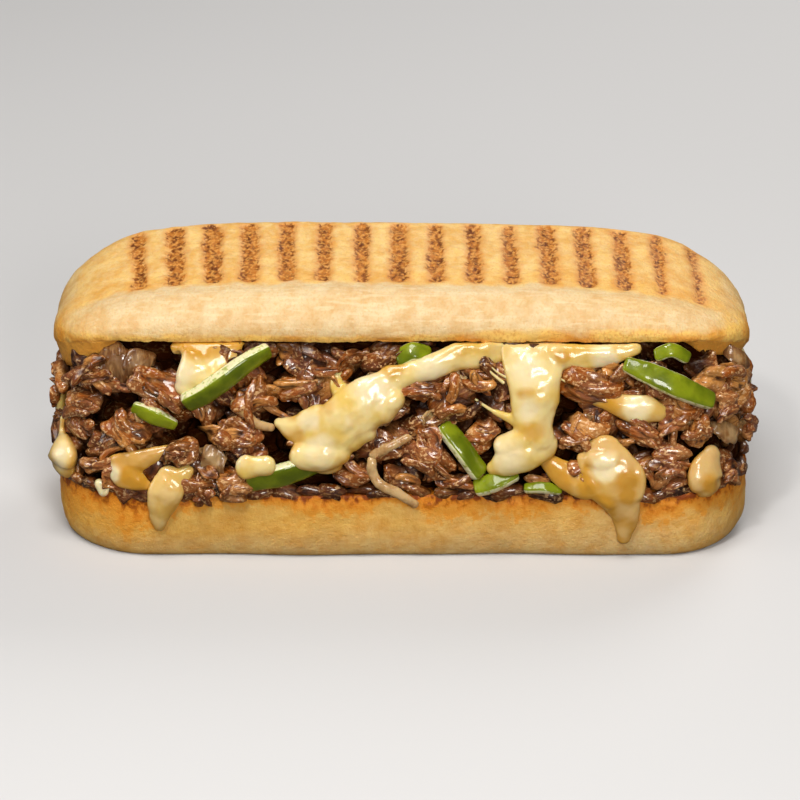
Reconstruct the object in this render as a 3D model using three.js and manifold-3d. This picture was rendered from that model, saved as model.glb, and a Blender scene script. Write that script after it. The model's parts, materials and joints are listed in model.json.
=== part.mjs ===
// A pressed panini: two halves of a long roll, opened towards the front, round a filling of shaved
// beef with strips of green pepper, onion and runs of melted cheese.
// Millimetres, +Z up. The sandwich is long in X, its open side faces -Y, and it lies on its lower half.
import * as THREE from 'three';
import { LoftGeometry } from 'three/addons/geometries/LoftGeometry.js';
import { mergeVertices } from 'three/addons/utils/BufferGeometryUtils.js';
import Module from 'manifold-3d';

const wasm = await Module();
wasm.setup();

// The two halves of the roll
const CORNER_RADIUS = 30; // of the roll's outline, seen from above
const SEGMENTS = { side: 5, corner: 7, end: 2 }; // of half a long side, a corner and an end
const lower = {
  halfLength: 113.6, halfWidth: 42, midX: 1.1, midY: -1,
  frontRim: 22.5, backRim: 26,
  edgeHeight: 11, edgeInset: { x: 4.5, y: 3.5 }, rimInset: 0.8,
};
const upper = {
  halfLength: 114.5, halfWidth: 41, midX: 0.5, midY: 9,
  frontRim: 72.4, backRim: 54, rimInset: 1,
  cutInset: { x: 14, y: 12 }, sag: 1,
  lipInset: { x: 4, y: 3 }, lipLeft: 8, lipRight: 4, lipFrom: 90, lipRun: 8, // crumb below the rim at the ends
  endDroop: 11, droopFrom: 99,
  shoulder: { left: 23, right: 26, y: 14 }, fullness: 1.35, widest: 0.18,
  crown: 85.1, crownTilt: 0.009, crownFall: 3.3, crownReach: 83, // the crown falls this much this far out
};
const CRUST_SWELL = 0.7; // how uneven the crust's outline is
const SPINE = 58; // half length of the line that the crown's rings close in on

// Marks of the ridged grill, pressed into the crown
const marks = {
  count: 16, first: -86.2, pitch: 12.26, width: 5.4, endWidth: 3.6, length: 56, midY: 9, depth: 0.8,
  fanFrom: -20, fan: 0.06, // the marks left of this line fan out, in degrees a millimetre
};

// The filling
const GAP = 0.3; // free space between neighbouring pieces
const FILLING_INSET = 0.4; // from the roll's outline to the filling's face
const FACE_LEAN = 0.2; // upward share of the normal of the filling's face
const core = { inset: 2.2, jitter: 1.4, shares: [0, 0.33, 0.67, 1], segments: { side: 6, corner: 3, end: 1 } };
const filler = { pitch: 31, rowPitch: 19, frontEnd: 118, length: [18, 26], width: [11, 15], thickness: [6, 8], lift: [-2.2, -0.2] };
const LUMP_SEED = 23;

const PI = Math.PI;
const lerp = (a, b, t) => a + (b - a) * t;
const clamp = (v, low, high) => Math.min(high, Math.max(low, v));
const between = ([low, high], share) => lerp(low, high, share);

// A seeded random number generator, from 0 to 1.
function seeded(seed) {
  let state = seed >>> 0;
  return () => {
    state = (state + 0x6d2b79f5) >>> 0;
    let t = state;
    t = Math.imul(t ^ (t >>> 15), t | 1);
    t ^= t + Math.imul(t ^ (t >>> 7), t | 61);
    return ((t ^ (t >>> 14)) >>> 0) / 4294967296;
  };
}

// Length of a half's outline.
function perimeter(half) {
  return 4 * (half.halfLength + half.halfWidth) + (2 * PI - 8) * CORNER_RADIUS;
}

// The outline's point at a signed distance from the front's middle, positive towards +X, and its normal.
function outlineAt(half, along) {
  const flatX = half.halfLength - CORNER_RADIUS;
  const flatY = half.halfWidth - CORNER_RADIUS;
  const quarter = (PI / 2) * CORNER_RADIUS;
  const side = Math.sign(along) || 1;
  let rest = Math.abs(along);
  let x;
  let y;
  let angle; // of the normal, from straight forward
  if (rest <= flatX) {
    [x, y, angle] = [rest, -half.halfWidth, 0];
  } else if ((rest -= flatX) <= quarter) {
    angle = rest / CORNER_RADIUS;
    x = flatX + CORNER_RADIUS * Math.sin(angle);
    y = -flatY - CORNER_RADIUS * Math.cos(angle);
  } else if ((rest -= quarter) <= 2 * flatY) {
    [x, y, angle] = [half.halfLength, rest - flatY, PI / 2];
  } else if ((rest -= 2 * flatY) <= quarter) {
    angle = PI / 2 + rest / CORNER_RADIUS;
    x = flatX + CORNER_RADIUS * Math.sin(angle);
    y = flatY - CORNER_RADIUS * Math.cos(angle);
  } else {
    [x, y, angle] = [flatX - (rest - quarter), half.halfWidth, PI];
  }
  return { x: half.midX + side * x, y: half.midY + y, nx: side * Math.sin(angle), ny: -Math.cos(angle) };
}

// Height of the cut face of each half above a place: a plane, and the upper one droops at its ends.
function cutHeight(half, y) {
  const share = (y - half.midY + half.halfWidth) / (2 * half.halfWidth);
  return lerp(half.frontRim, half.backRim, share);
}

const smooth = (t) => t * t * (3 - 2 * t);

function droopAt(x) {
  const out = Math.abs(x - upper.midX) - upper.droopFrom;
  return upper.endDroop * smooth(clamp(out / (upper.halfLength - upper.droopFrom), 0, 1));
}

function lipAt(x) {
  const out = (Math.abs(x) - upper.lipFrom) / upper.lipRun;
  return 0.3 + (x < 0 ? upper.lipLeft : upper.lipRight) * smooth(clamp(out, 0, 1));
}

function crownAt(x) {
  return upper.crown - upper.crownTilt * x - upper.crownFall * (Math.abs(x) / upper.crownReach) ** 4;
}

// Slow swell of the crust along the outline.
function swellAt(x, y) {
  return CRUST_SWELL * (Math.sin(x / 17 + y / 13) * 0.6 + Math.sin(x / 7.3 - y / 11 + 2) * 0.4);
}

// Distances along a half's outline, closer together at the corners than on the straight sides.
function stations(half, { side, corner, end }) {
  const runs = [
    [half.halfLength - CORNER_RADIUS, side], [(PI / 2) * CORNER_RADIUS, corner],
    [2 * (half.halfWidth - CORNER_RADIUS), end], [(PI / 2) * CORNER_RADIUS, corner],
    [half.halfLength - CORNER_RADIUS, side],
  ];
  const right = [0];
  for (const [length, count] of runs) {
    const from = right.at(-1);
    for (let i = 1; i <= count; i++) right.push(from + (length * i) / count);
  }
  return [...right.slice(0, -1), ...right.slice(1).reverse().map((along) => -along)];
}

// One ring of a half: its outline moved inwards by insets along X and Y, then pulled towards the
// middle line by a share, with a height for each point.
function ring(half, inset, heightAt, { swell = 1, pull = 0, segments = SEGMENTS } = {}) {
  return stations(half, segments).map((along) => {
    const p = outlineAt(half, along);
    const out = swell * swellAt(p.x, p.y);
    const by = typeof inset === 'function' ? inset(p.x) : inset;
    const x = p.x - p.nx * (by.x - out);
    const y = p.y - p.ny * (by.y - out);
    const across = lerp(x, clamp(x, -SPINE, SPINE), pull);
    return new THREE.Vector3(across, lerp(y, half.midY, pull), heightAt(across, y));
  });
}

const evenly = (inset) => ({ x: inset, y: inset });

// The lower half: a flat base, a rounded lower edge, an upright crust and a flat cut face.
function lowerHalf(grow = 0) {
  const rings = [];
  for (const turn of [90, 60, 30, 0]) {
    const angle = (turn * PI) / 180;
    const inset = {
      x: lower.edgeInset.x * (1 - Math.cos(angle)) - grow,
      y: lower.edgeInset.y * (1 - Math.cos(angle)) - grow,
    };
    rings.push(ring(lower, inset, () => lower.edgeHeight * (1 - Math.sin(angle))));
  }
  rings.push(ring(lower, evenly(lower.rimInset - grow), (x, y) => cutHeight(lower, y) + grow));
  return new LoftGeometry(rings, { capStart: true, capEnd: true });
}

// The upper half: a flat cut face, crumb that hangs below the rim at the ends, a rim that droops
// there, a round shoulder and a low crown.
function upperHalf(grow = 0) {
  const plane = (x, y) => cutHeight(upper, y) - grow;
  const rimAt = (x, y) => plane(x, y) - droopAt(x);
  const inner = { x: upper.cutInset.x + grow, y: upper.cutInset.y + grow };
  const rings = [
    ring(upper, inner, (x, y) => plane(x, y) - upper.sag, { swell: 0.2, pull: 0.9 }),
    ring(upper, inner, plane, { swell: 0.2 }),
    ring(upper, upper.lipInset, (x, y) => rimAt(x, y) - lipAt(x) - grow, { swell: 0.6 }),
    ring(upper, evenly(upper.rimInset - grow), rimAt),
  ];
  const shoulderRing = (turn, pull) => {
    const angle = (turn * PI) / 180;
    const share = lerp(upper.widest, 1, Math.sin(angle));
    const tuck = 1 - Math.cos(angle);
    const heightAt = (x, y) => lerp(rimAt(x, y), crownAt(x) + grow, share);
    const insetAt = (x) => ({
      x: (x < 0 ? upper.shoulder.left : upper.shoulder.right) * tuck ** upper.fullness - grow,
      y: upper.shoulder.y * tuck - grow,
    });
    rings.push(ring(upper, insetAt, heightAt, { swell: Math.max(Math.cos(angle), 0.2), pull }));
  };
  for (const turn of [0, 24, 46, 67, 90]) shoulderRing(turn, 0);
  shoulderRing(90, 0.95);
  return new LoftGeometry(rings, { capStart: true, capEnd: true });
}

// A geometry as a manifold-3d solid, and back.
function solidOf(geometry) {
  const bare = new THREE.BufferGeometry();
  bare.setAttribute('position', geometry.attributes.position);
  bare.setIndex(geometry.index);
  const merged = mergeVertices(bare, 1e-4);
  return new wasm.Manifold(new wasm.Mesh({
    numProp: 3,
    vertProperties: merged.attributes.position.array,
    triVerts: new Uint32Array(merged.index.array),
  }));
}

function geometryOf(solid) {
  const mesh = solid.getMesh();
  const geometry = new THREE.BufferGeometry();
  geometry.setAttribute('position', new THREE.BufferAttribute(mesh.vertProperties, 3));
  geometry.setIndex(new THREE.BufferAttribute(mesh.triVerts, 1));
  geometry.computeVertexNormals();
  return geometry;
}

// The largest body of a solid: scraps that a cut leaves are dropped.
function largest(solid) {
  return solid.decompose().reduce((a, b) => (a.volume() > b.volume() ? a : b));
}

// The grill's ridges: slots with round ends, sunk into the crown.
function grillMarks() {
  const cutters = [];
  for (let i = 0; i < marks.count; i++) {
    const x = marks.first + i * marks.pitch;
    const outward = Math.abs(x - upper.midX) / upper.halfLength;
    const radius = lerp(marks.width, marks.endWidth, outward ** 4) / 2;
    const reach = marks.length / 2 - radius;
    const slot = new THREE.Shape();
    slot.absarc(0, reach, radius, 0, PI);
    slot.absarc(0, -reach, radius, PI, 2 * PI);
    const cutter = new THREE.ExtrudeGeometry(slot, { depth: 4, bevelEnabled: false, curveSegments: 2 });
    cutter.rotateZ((Math.max(0, marks.fanFrom - x) * marks.fan * PI) / 180);
    cutter.translate(x, marks.midY, crownAt(x) - marks.depth);
    cutters.push(solidOf(cutter));
  }
  return cutters;
}

// A point on the filling's face: distance along the outline, height, and lift off the face. Below the
// lower half's rim the face goes on down the crust.
function onFilling(along, height, lift) {
  let share = 0.5;
  let p;
  let low;
  for (let pass = 0; pass < 3; pass++) {
    const face = {
      halfLength: lerp(lower.halfLength, upper.halfLength, share) - FILLING_INSET,
      halfWidth: lerp(lower.halfWidth, upper.halfWidth, share) - FILLING_INSET,
      midX: lerp(lower.midX, upper.midX, share),
      midY: lerp(lower.midY, upper.midY, share),
    };
    p = outlineAt(face, along);
    low = cutHeight(lower, p.y);
    share = clamp((height - low) / (cutHeight(upper, p.y) - droopAt(p.x) - low), 0, 1);
  }
  const turn = clamp(1 - height / lower.edgeHeight, 0, 1);
  const tuck = height < low ? lower.edgeInset.y * (1 - Math.sqrt(1 - turn * turn)) : 0;
  const out = lift - tuck;
  const lean = height < low ? 0 : FACE_LEAN;
  return {
    point: new THREE.Vector3(p.x + p.nx * out, p.y + p.ny * out, height),
    normal: new THREE.Vector3(p.nx, p.ny, lean).normalize(),
    share,
  };
}

// A strand that follows the filling's face. Each row is [along, height, half width, half thickness, lift].
// The section is a rounded bar, turned about the strand by roll degrees; squareness 1 makes it an ellipse.
function strand(rows, { grow = 0, sides = 10, steps = 3, squareness = 1, roll = 0, roundEnds = true }) {
  const spine = new THREE.CatmullRomCurve3(rows.map(([a, h, , , l]) => onFilling(a, h, l).point), false, 'centripetal');
  const stations = [];
  const last = (rows.length - 1) * steps;
  for (let i = 0; i <= last; i++) {
    const at = i / last;
    const place = at * (rows.length - 1);
    const k = Math.min(Math.floor(place), rows.length - 2);
    const mix = (n) => lerp(rows[k][n], rows[k + 1][n], place - k);
    stations.push({
      centre: spine.getPoint(at), tangent: spine.getTangent(at), normal: onFilling(mix(0), mix(1), 0).normal,
      half: [mix(2) + grow, mix(3) + grow],
    });
  }
  if (roundEnds) {
    const ends = [[stations[0], -1], [stations[last], 1]];
    const caps = ends.map(([s, way]) => ({
      ...s,
      centre: s.centre.clone().addScaledVector(s.tangent, way * 0.75 * Math.min(s.half[0], 2 * s.half[1])),
      half: s.half.map((h) => h * 0.55),
    }));
    stations.unshift(caps[0]);
    stations.push(caps[1]);
  } else if (grow) {
    stations[0].centre.addScaledVector(stations[0].tangent, -grow);
    stations[last].centre.addScaledVector(stations[last].tangent, grow);
  }
  const sections = stations.map(({ centre, tangent, normal, half }) => {
    const across = new THREE.Vector3().crossVectors(normal, tangent).normalize();
    const up = new THREE.Vector3().crossVectors(tangent, across).normalize();
    const spin = (roll * PI) / 180;
    const e1 = across.clone().multiplyScalar(Math.cos(spin)).addScaledVector(up, Math.sin(spin));
    const e2 = up.clone().multiplyScalar(Math.cos(spin)).addScaledVector(across, -Math.sin(spin));
    const points = [];
    for (let i = 0; i < sides; i++) {
      const angle = ((i + 0.5) / sides) * 2 * PI;
      const bulge = (v) => Math.sign(v) * Math.abs(v) ** squareness;
      points.push(centre.clone()
        .addScaledVector(e1, half[0] * bulge(Math.cos(angle)))
        .addScaledVector(e2, half[1] * bulge(Math.sin(angle))));
    }
    return points;
  });
  return solidOf(new LoftGeometry(sections, { capStart: true, capEnd: true }));
}

// Strips of green pepper: a cut bar of the fruit's wall, skin on one wide side.
const PEPPER_STRIPS = {
  pepper_front_left: { roll: -38, rows: [[-68.7, 54.5, 3.3, 2.2, 3.4], [-56.6, 62.8, 3.6, 2.3, 4.4], [-44.4, 69.4, 3.5, 2.2, 0.8]] },
  pepper_tip_left: { roll: -50, rows: [[-85.6, 51.5, 2.2, 1.5, 0.8], [-79.8, 49.3, 2.9, 1.8, 2], [-73.9, 46.2, 2, 1.5, 0.4]] },
  pepper_low_left: { roll: -35, rows: [[-49.1, 28.5, 3.6, 2.1, 2.2], [-39.3, 30.8, 4.1, 2.2, 3], [-28, 33.8, 3.8, 2.1, 1]] },
  pepper_centre: { roll: 25, rows: [[13.7, 45.2, 3.2, 2, 0.5], [19.3, 38.6, 3.4, 2.1, 2.2], [24.4, 31, 3.2, 2, 1.4]] },
  pepper_low_centre: { roll: -40, rows: [[24.1, 26.4, 3.1, 1.9, 1.8], [29.9, 28.3, 3.2, 2, 2.2], [35.5, 30.2, 3, 1.9, 0.5]] },
  pepper_top_centre: { roll: -30, rows: [[-0.6, 67.1, 2.8, 1.9, -0.2], [3.6, 69.2, 3, 1.9, 0.2], [7.8, 68.1, 2.6, 1.8, -0.8]] },
  pepper_front_right: {
    roll: -30,
    rows: [[72.4, 66.2, 2.6, 1.9, 3], [78.7, 64, 3.5, 2.3, 4], [87.2, 60.1, 3.9, 2.4, 4.4], [98.1, 53.1, 3.1, 2.1, 3]],
  },
  pepper_curl_right: { roll: -20, rows: [[82.1, 68.8, 2.2, 1.5, 1], [86.4, 70.2, 2.4, 1.5, 1.4], [91.1, 67.3, 2.1, 1.4, 0.5]] },
  pepper_low_right: { roll: -40, rows: [[40.2, 25.9, 1.6, 1.4, 1.4], [45.4, 26.3, 1.9, 1.5, 2], [49.9, 24.9, 1.5, 1.3, 1.2]] },
  pepper_left_end: { roll: -35, rows: [[-137, 39, 4, 2.2, -1.6], [-148, 42, 4.2, 2.2, -1], [-160, 40, 3.8, 2.1, -1.4]] },
  pepper_back_left: { roll: -35, rows: [[-236, 37, 4, 2.2, 1.2], [-249, 40.5, 4.2, 2.2, 2], [-262, 42, 3.9, 2.1, 0.6]] },
  pepper_back_right: { roll: -30, rows: [[206, 42, 3.8, 2.2, 0.8], [220, 38, 4.1, 2.2, 2.2], [233, 35, 3.8, 2.1, 1]] },
};

// Melted cheese: one or more runs joined into one piece.
const CHEESE_RUNS = {
  cheese_top_left: [
    [[-62.4, 70.5, 12.2, 2.4, -1.2], [-62.4, 67.4, 9.8, 2.8, 0.6], [-64.7, 64.6, 7.8, 3, 1.6], [-67.3, 61.7, 5.8, 2.8, 2.2],
      [-69.3, 58.7, 3.6, 2.4, 2]],
  ],
  cheese_centre: [
    [[-26.4, 36, 7.6, 2.8, 2.4], [-25, 41, 8.4, 3.6, 3.4], [-20.7, 46.3, 8.8, 4, 3.8], [-14.2, 52, 8.8, 3.8, 3.6],
      [-8.4, 56.7, 7.8, 3.4, 3], [-3.9, 60.6, 5, 2.8, 2]],
    [[-24.9, 45.8, 5.5, 3, 2.6], [-32, 46.9, 4.2, 2.8, 2.2], [-37.1, 47.6, 3, 2.2, 1.4], [-39.7, 46.7, 1.7, 1.6, 0.8]],
    [[-3.8, 60.9, 4, 2.4, 1.8], [1.9, 61.8, 2.7, 2, 1.8], [10, 65.3, 3.4, 2.2, 1.6], [16.4, 67.2, 3.2, 2.1, 1],
      [22.5, 69.2, 3.4, 2, 0.2], [28, 70.3, 3.8, 1.8, -0.6]],
    [[-5.1, 62.8, 2.2, 1.7, 1.4], [-10.9, 61.5, 1.6, 1.5, 1.6], [-16.3, 62.7, 1.5, 1.4, 1.2], [-20.5, 62.3, 1.8, 1.5, 0.8]],
    [[-20.5, 62.1, 1.8, 1.5, 0.8], [-21.8, 59.3, 1.9, 1.6, 1], [-20.9, 56.2, 3, 1.9, 1.4], [-20.6, 53.2, 4, 2.2, 1.8]],
  ],
  cheese_right: [
    [[41.8, 70.6, 10.5, 2.2, -1.2], [42.1, 66.5, 10, 2.9, 1.2], [42.5, 61.6, 9, 3.3, 2.8], [42.5, 56.8, 8, 3.4, 3.4],
      [42, 51.5, 7.2, 3.2, 3.2], [42, 45.9, 6.3, 3, 3], [42.7, 42.1, 6.6, 3, 3]],
    [[45.7, 40.6, 5, 2.6, 2.4], [37.7, 37, 5.8, 3, 3.2], [31.9, 33.9, 4.5, 2.6, 2.6], [29, 32.5, 2.8, 2, 1.8]],
    [[49.1, 67.9, 4, 2.2, 1], [53.6, 67.9, 3.3, 2.1, 1], [60, 67.9, 3.2, 2, 1], [66.1, 68.4, 2.8, 1.8, 1],
      [75.1, 70.3, 1.6, 1.4, 0]],
    [[38.4, 47.9, 4, 2, 2.2], [34.5, 48.7, 2.2, 1.4, 2.2], [29.7, 50.8, 1.2, 1.1, 1.8], [25.3, 53, 1.2, 1.1, 0.6]],
  ],
  cheese_pocket: [
    [[61.6, 54.1, 2.2, 1.6, 0.4], [66.1, 53.6, 3.2, 2, 1], [71.8, 52.2, 3.6, 2.2, 1.6], [81.8, 50.3, 3, 2, 1.4]],
  ],
  cheese_low_right: [
    [[64.8, 42, 4.2, 2, 1.2], [64.4, 38, 7, 3, 2.4], [65.6, 33.7, 9.4, 3.6, 3.6], [67.2, 29.1, 11.4, 3.8, 4],
      [69.5, 24.3, 9.4, 3.2, 3], [71.5, 19.2, 6.5, 2.4, 1.9], [71.8, 14.6, 4.5, 2, 1.4], [71.6, 10.3, 3, 1.8, 1.1],
      [71.3, 7.8, 2.1, 1.6, 0.9]],
    [[45.4, 35.1, 2, 1.5, 1.4], [49.2, 32.4, 3.6, 1.9, 2.8], [53.4, 29.4, 4.8, 2.2, 3.4], [59.5, 26.4, 5, 2.4, 3.4]],
  ],
  cheese_low_left: [
    [[-74.4, 29.8, 4.4, 2, 1.4], [-76.2, 25.7, 6.2, 2.5, 2.3], [-77.8, 20.6, 5.2, 2.2, 1.8], [-79, 14.9, 3.1, 1.8, 1.2],
      [-79.1, 11.9, 2, 1.6, 1]],
  ],
  cheese_drop_left: [
    [[-116.4, 40.6, 1.3, 1.2, 0.6], [-117.2, 34.6, 1.8, 1.6, 0.9], [-115.2, 31.7, 4, 2.8, 1.6], [-114.7, 28.1, 5.5, 3.6, 2],
      [-116.5, 23.8, 4.8, 3.2, 1.8]],
    [[-115.9, 27.2, 4.4, 3, 1.8], [-107.3, 29.3, 4, 2.6, 2]],
  ],
  cheese_drop_small: [
    [[-50.4, 34.3, 3.9, 1.9, 5.4], [-44, 35.1, 3.7, 1.9, 5.8]],
  ],
  cheese_drop_right: [
    [[99.5, 37, 2.5, 1.9, 0.8], [98.4, 33.5, 4.4, 2.9, 1.6], [97.5, 29.3, 5.8, 3.6, 2.4], [97.9, 24.9, 4.6, 3, 1.8]],
  ],
  cheese_fold_left: [
    [[-93.5, 31.5, 3.8, 1.8, 1.2], [-87, 33.7, 4.6, 2, 2.2], [-81.5, 35.8, 4, 1.9, 1.8], [-76, 37.3, 2.5, 1.6, 0.8]],
  ],
  cheese_chip_left: [
    [[-98, 25.9, 2.3, 1.5, 1.6], [-97.1, 22.4, 2.1, 1.4, 1.4]],
  ],
  cheese_right_end: [
    [[146, 51, 6, 2.2, -2.6], [145, 46, 6, 2.8, -1], [144, 39, 4.4, 2.6, -0.4], [144, 33, 3, 2.2, -0.4]],
  ],
  cheese_left_end: [
    [[-128, 48, 4, 2, -1.8], [-127, 41, 4.4, 2.4, -0.8], [-126, 34, 3, 2, -0.6]],
  ],
  cheese_back_right: [
    [[262, 50, 8, 2.2, -0.8], [259, 44.5, 7.4, 2.8, 1.2], [257, 37.5, 5.4, 2.8, 2], [256, 30.5, 3.6, 2.4, 1.8]],
    [[258, 45, 3, 2, 0.8], [247, 46, 2.6, 1.8, 1], [238, 48, 2, 1.6, 0]],
  ],
  cheese_back_left: [
    [[-208, 51, 7, 2.2, -0.8], [-207, 45.5, 6, 2.6, 1], [-205, 39, 4, 2.4, 1.8], [-204, 33, 3, 2.2, 1.6]],
  ],
};

// Soft strips of onion.
const ONION_STRIPS = {
  onion_bent_upper: [[1.7, 42.4, 1.4, 0.9, 1.8], [-4, 40, 1.5, 1, 2.8], [-9.5, 37.2, 1.5, 0.9, 2.6]],
  onion_bent_lower: [
    [-10, 35.4, 1.4, 1, 2.4], [-10, 31.7, 1.7, 1, 2.6], [-7.8, 28, 1.7, 1, 2.6], [-1.9, 24.5, 1.6, 1, 2],
    [3.6, 20.3, 1.4, 0.9, 1.4],
  ],
  onion_left: [[-53.7, 53.5, 1.4, 1, 1.8], [-50.2, 50.2, 1.6, 1, 2.6], [-46.7, 47, 1.6, 1, 2.4], [-42.3, 45.2, 1.3, 0.9, 0.8]],
  onion_petal_left: [[-93.6, 67.6, 2.8, 1.2, -0.4], [-91.5, 64.6, 3.2, 1.4, 1], [-89.1, 60.6, 2.6, 1.2, 0.9]],
  onion_petal_inner: [[-81.4, 69.3, 3, 1.2, -1], [-83.3, 66, 3.4, 1.3, 0.2], [-85.4, 62, 2.4, 1.1, 0]],
  onion_flake_left: [[-59.5, 39.3, 1.6, 0.9, 1], [-61.5, 35.1, 3, 1.2, 1.8], [-62.9, 31.1, 3, 1.2, 1.4]],
  onion_flake_right: [[103.3, 44, 2, 1, 1.2], [106.9, 39.7, 3, 1.3, 1.6], [111, 34.8, 1.8, 1, 1]],
  onion_right_end: [[110.1, 65.7, 1.8, 1, 0], [112.3, 62.1, 2.2, 1.1, 1], [115.1, 57, 1.8, 1, 0.6]],
  onion_back: [[-176, 35, 2, 1, 1.2], [-188, 38, 2.2, 1.1, 1.8], [-199, 35.5, 1.8, 1, 1]],
};

// The larger lumps of shaved beef: [along, height, lift, length, width, thickness, slant in degrees].
const BEEF_LUMPS = [
  [-88.1, 44.6, 1.6, 12, 10, 8, -30], [-78.4, 57.1, 1.2, 17, 10, 7.5, -20], [-103.6, 58.8, 0.6, 18, 6, 6, 12],
  [-105.6, 50.2, 0.8, 17, 8, 7, 18], [-97.8, 65, -0.5, 12, 6, 6, -10], [-47, 55.3, 0.6, 15, 10, 7, 35],
  [-32.8, 57.8, 0.6, 17, 9, 7, 14], [-28.2, 65.1, -0.4, 15, 9, 7, -25], [-52.4, 42.1, 0.6, 14, 12, 8, -40],
  [-72.4, 37.1, 1.2, 10, 8, 7, 20], [-54.9, 26.7, 1.2, 7, 9, 7, 0], [-15.9, 29.9, 0.2, 10, 6, 6, 10],
  [7, 57, 1, 19, 9, 7.5, -8], [16, 54.7, 0.8, 15, 10, 7.5, 20], [23.1, 62.1, 0.8, 15, 5, 5.5, -9],
  [26.2, 41.9, -0.6, 6, 10, 6, 0], [8.7, 35.5, 0.4, 20, 8, 6.5, -38], [60.3, 58.8, 0.6, 18, 10, 7.5, -10],
  [58.1, 44.2, 0.4, 15, 10, 7, -25], [75.7, 44.3, 1.4, 15, 7, 7, -30], [88.2, 48.1, 0.8, 10, 8, 7, 10],
  [95.3, 43, 0.6, 6, 10, 7, 0], [86.5, 33.6, 0, 10, 9, 7, -30], [106.6, 57.6, 0.8, 16, 8, 7, -35],
  [105.4, 49.4, 1.2, 8, 9, 7, 0], [119.4, 36.5, 0.6, 5, 9, 6, 0], [109.2, 26.1, 1.2, 5, 11, 6, 0],
  [-94.3, 39.4, -1.4, 13, 6, 6, 20], [57, 31.8, 1.6, 8, 7, 7, 0], [15.1, 27.7, -0.4, 13, 7, 6, -10],
  [-106.3, 41.5, -1.2, 11, 6, 6, -20], [-98.4, 31, 0.6, 10, 6, 6, 10], [-66, 26, -0.4, 12, 6, 6, 5],
];

// Shreds of beef that hang on the face.
const BEEF_SHREDS = [
  [[-10.1, 28.8, 1.6, 1.4, 0.4], [-16.6, 25.1, 1.8, 1.4, 1.4], [-24.4, 19.1, 1.5, 1.2, 1]],
  [[-0.8, 45.4, 3.2, 1.8, 0.4], [6.8, 42.2, 3.4, 2, 1.2], [13.9, 38.7, 3.2, 1.9, 1], [20.3, 32.4, 2.4, 1.6, 0.8]],
];

const pepperSolid = ({ rows, roll }, grow = 0) =>
  strand(rows, { grow, roll, sides: 8, squareness: 0.5, steps: 1, roundEnds: false });
const onionSolid = (rows, grow = 0) => strand(rows, { grow, sides: 6, steps: 1 });
const cheeseSolid = (runs, grow = 0) =>
  wasm.Manifold.union(runs.map((rows) => strand(rows, { grow, sides: 8, steps: 1 })));

// A lump of shaved beef: a rough flat pebble of few sides, laid on the face at a slant.
function beefLump([along, height, lift, ...size], random) {
  const slant = size.pop();
  const { point, normal } = onFilling(along, height, lift);
  const pebble = new THREE.IcosahedronGeometry(1, 0);
  pebble.deleteAttribute('normal');
  pebble.deleteAttribute('uv');
  const rough = mergeVertices(pebble, 1e-4);
  const spots = rough.attributes.position;
  const corner = new THREE.Vector3();
  for (let i = 0; i < spots.count; i++) {
    corner.fromBufferAttribute(spots, i).multiplyScalar(lerp(0.9, 1.25, random()));
    spots.setXYZ(i, corner.x, corner.y, corner.z);
  }
  const tilt = new THREE.Euler((random() - 0.5) * 0.5, (random() - 0.5) * 0.5, (slant * PI) / 180);
  const lay = new THREE.Matrix4().makeRotationFromEuler(tilt).scale(new THREE.Vector3(...size).divideScalar(2));
  const side = new THREE.Vector3(-normal.y, normal.x, 0).normalize();
  const rise = new THREE.Vector3().crossVectors(normal, side).normalize();
  const onFace = new THREE.Matrix4().makeBasis(side, rise, normal).setPosition(point);
  rough.applyMatrix4(onFace.multiply(lay));
  return solidOf(rough);
}

// Smaller lumps in rows round the ends and the back, where no larger lump is laid.
function fillerLumps(random) {
  const lumps = [];
  const around = perimeter(lower);
  const columns = Math.round((around - 2 * filler.frontEnd) / filler.pitch);
  for (let column = 0; column < columns; column++) {
    let along = filler.frontEnd + ((column + 0.5) / columns) * (around - 2 * filler.frontEnd);
    if (along > around / 2) along -= around;
    const spot = outlineAt(lower, along);
    const low = cutHeight(lower, spot.y);
    const open = cutHeight(upper, spot.y) - droopAt(spot.x) - low;
    const rows = Math.max(2, Math.round(open / filler.rowPitch));
    for (let row = 0; row < rows; row++) {
      const share = (row + 0.5 + (column % 2 ? 0.2 : -0.2)) / rows;
      lumps.push([
        along + (random() - 0.5) * 6, low + share * open, between(filler.lift, random()),
        between(filler.length, random()), between(filler.width, random()), between(filler.thickness, random()),
        (random() - 0.5) * 120,
      ]);
    }
  }
  return lumps;
}

// The heap of beef: a rough core between the halves, with lumps and shreds all round its face.
function beefHeap() {
  const random = seeded(LUMP_SEED);
  const rings = core.shares.map((share, level) => {
    const half = {
      halfLength: lerp(lower.halfLength, upper.halfLength, share),
      halfWidth: lerp(lower.halfWidth, upper.halfWidth, share),
      midX: lerp(lower.midX, upper.midX, share),
      midY: lerp(lower.midY, upper.midY, share),
    };
    const heightAt = (x, y) => lerp(cutHeight(lower, y) + GAP, cutHeight(upper, y) - upper.sag - GAP, share);
    const rise = level === 0 || level === core.shares.length - 1 ? 0 : core.jitter;
    return ring(half, evenly(core.inset), heightAt, { swell: 0.2, segments: core.segments }).map((p) => p.add(new THREE.Vector3(
      (random() - 0.5) * 2 * core.jitter, (random() - 0.5) * 2 * core.jitter, (random() - 0.5) * 2 * rise,
    )));
  });
  const lumps = [...BEEF_LUMPS, ...fillerLumps(random)].map((lump) => beefLump(lump, random));
  const shreds = BEEF_SHREDS.map((rows) => strand(rows, { sides: 6, steps: 1 }));
  const middle = solidOf(new LoftGeometry(rings, { capStart: true, capEnd: true }));
  return wasm.Manifold.union([middle, ...lumps, ...shreds]);
}

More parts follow.
